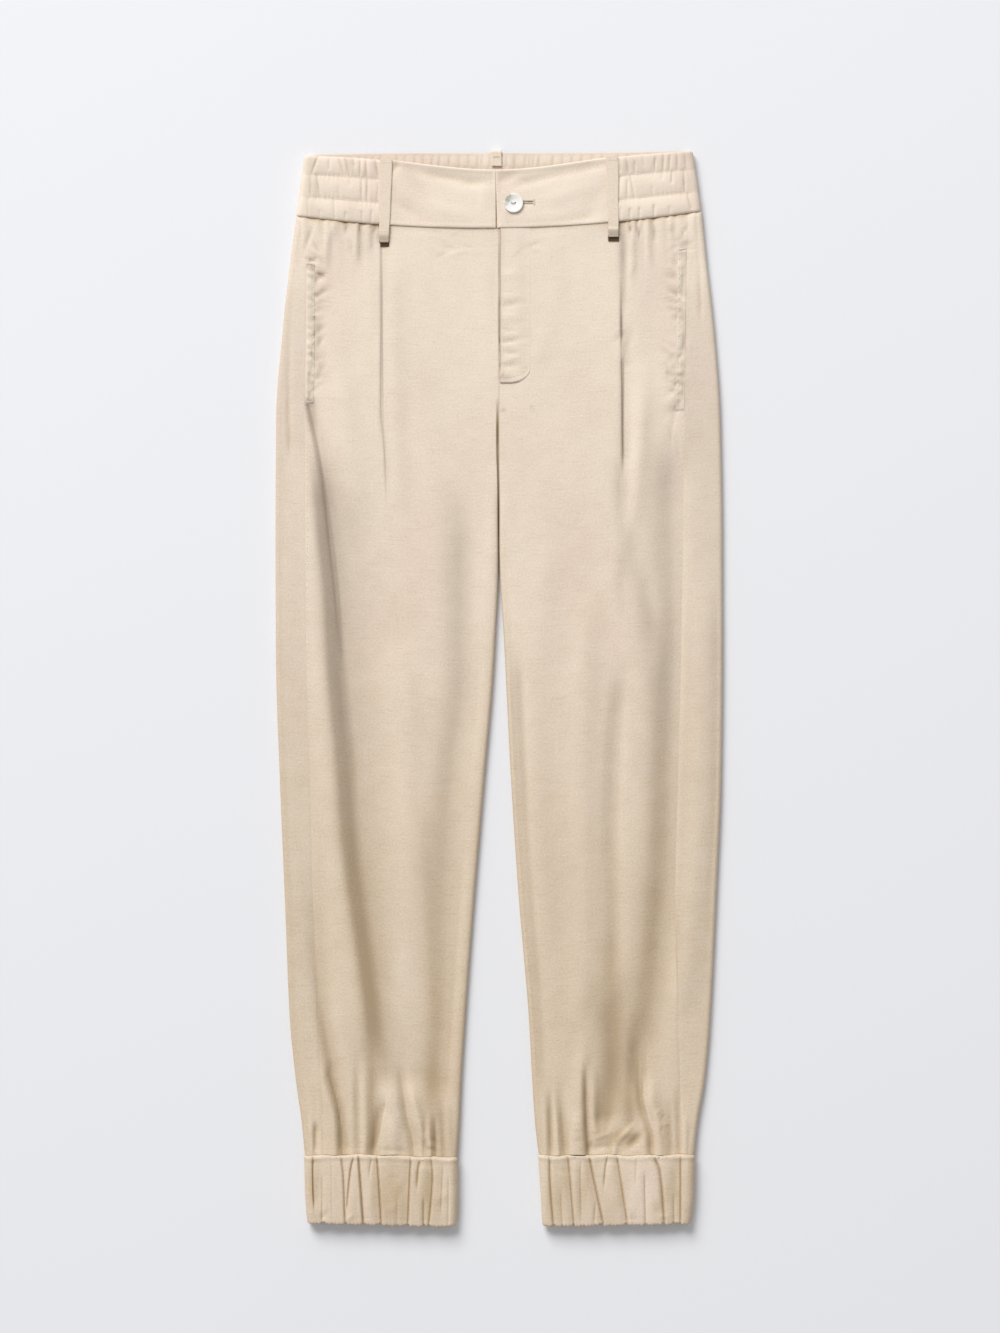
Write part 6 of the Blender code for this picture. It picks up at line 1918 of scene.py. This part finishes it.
def addButtonholeSewing():
    # close stitches square to the slit along both lips, and a bar across its far end
    start, end, holeY = flatBand["buttonhole"][:3]
    xs = np.arange(start - 0.4, end + 0.3, 0.42)
    ys = np.linspace(-2.6, 3.2, 12)
    band = "waistband.left"
    rows = [(band, xs, holeY + lip + 0 * xs, math.pi / 2, sewingLook["lip"]) for lip in (0.52, -0.52)]
    rows.append((band, end + 1.25 - 0.28 * np.abs(ys), holeY + ys, 0.0, sewingLook["bar"]))
    addStitches("stitches.buttonhole", rows)


def addCuffSewing():
    # the uneven overlocked bumps along the gathered seam
    rows = []
    for side in both:
        inner, outer = [float(legValue(side, column, -415)) for column in ("inner", "outer")]
        x = signOf(side) * np.linspace(inner + 4, outer - 4, 90)
        xs, ys, turn = rowAlong(x, cuffSeamY(x) - 1.7, *sewingLook["cuffRow"])
        some = chance.uniform(size=len(xs)) < 0.5
        ys = ys[some] + chance.uniform(-0.8, 0.8, some.sum())
        turn = turn[some] + chance.uniform(-0.7, 0.7, some.sum())
        rows.append((f"cuff.{side}", xs[some], ys, turn, sewingLook["cuff"]))
    addStitches("stitches.cuffs", rows)


bpy.context.view_layer.update()
addElasticRows()
addPocketRows()
addFlyRows()
addLoopTacks()
addButtonholeSewing()
addCuffSewing()
print("sewing: rows, tacks, buttonhole and cuffs")
studio = {
    "groundColour": (0.806, 0.812, 0.840),
    "keyPlace": (-3.6, 7.2, 6.6),
    "keySize": 5.6,
    "keyPower": 1090.0,
    "fillColour": (1.0, 0.995, 0.99),
    "fillStrength": 0.43,
    "cameraPlace": (0.0009, 0.0198, 3.6),
    "lens": 108.0,
    "groundReach": 4.0,
}


def addGround():
    # a level plane
    reach = studio["groundReach"]
    mesh = bpy.data.meshes.new("ground")
    corners = [(-reach, -reach, 0), (reach, -reach, 0), (reach, reach, 0), (-reach, reach, 0)]
    mesh.from_pydata(corners, [], [(0, 1, 2, 3)])
    material, sheet, shader = newMaterial("ground")
    light = tuple(channel * 1.012 for channel in studio["groundColour"])
    colour = sheet.blend(sheet.noise(sheet.place(), 2.0), studio["groundColour"], light)
    sheet.feed(shader, {"Base Color": colour, "Roughness": 0.95, "Specular IOR Level": 0.1})
    mesh.materials.append(material)
    ground = bpy.data.objects.new("ground", mesh)
    ground.location.z = -0.0004
    bpy.context.scene.collection.objects.link(ground)


def addLight():
    # one large soft lamp, high on the waist side, and an even fill from all round
    data = bpy.data.lights.new("key", "AREA")
    data.energy = studio["keyPower"]
    data.size = studio["keySize"]
    key = bpy.data.objects.new("key", data)
    key.location = studio["keyPlace"]
    key.rotation_euler = (-key.location).to_track_quat("-Z", "Y").to_euler()
    bpy.context.scene.collection.objects.link(key)
    world = bpy.data.worlds.new("studio")
    world.use_nodes = True
    background = world.node_tree.nodes["Background"]
    background.inputs[0].default_value = (*studio["fillColour"], 1)
    background.inputs[1].default_value = studio["fillStrength"]
    bpy.context.scene.world = world


def addCamera():
    # straight down
    data = bpy.data.cameras.new("camera")
    data.lens = studio["lens"]
    data.sensor_width = 36.0
    camera = bpy.data.objects.new("camera", data)
    camera.location = studio["cameraPlace"]
    bpy.context.scene.collection.objects.link(camera)
    bpy.context.scene.camera = camera


addGround()
addLight()
addCamera()
bpy.context.scene.view_settings.view_transform = "Standard"
print("stage: ground, light and camera")
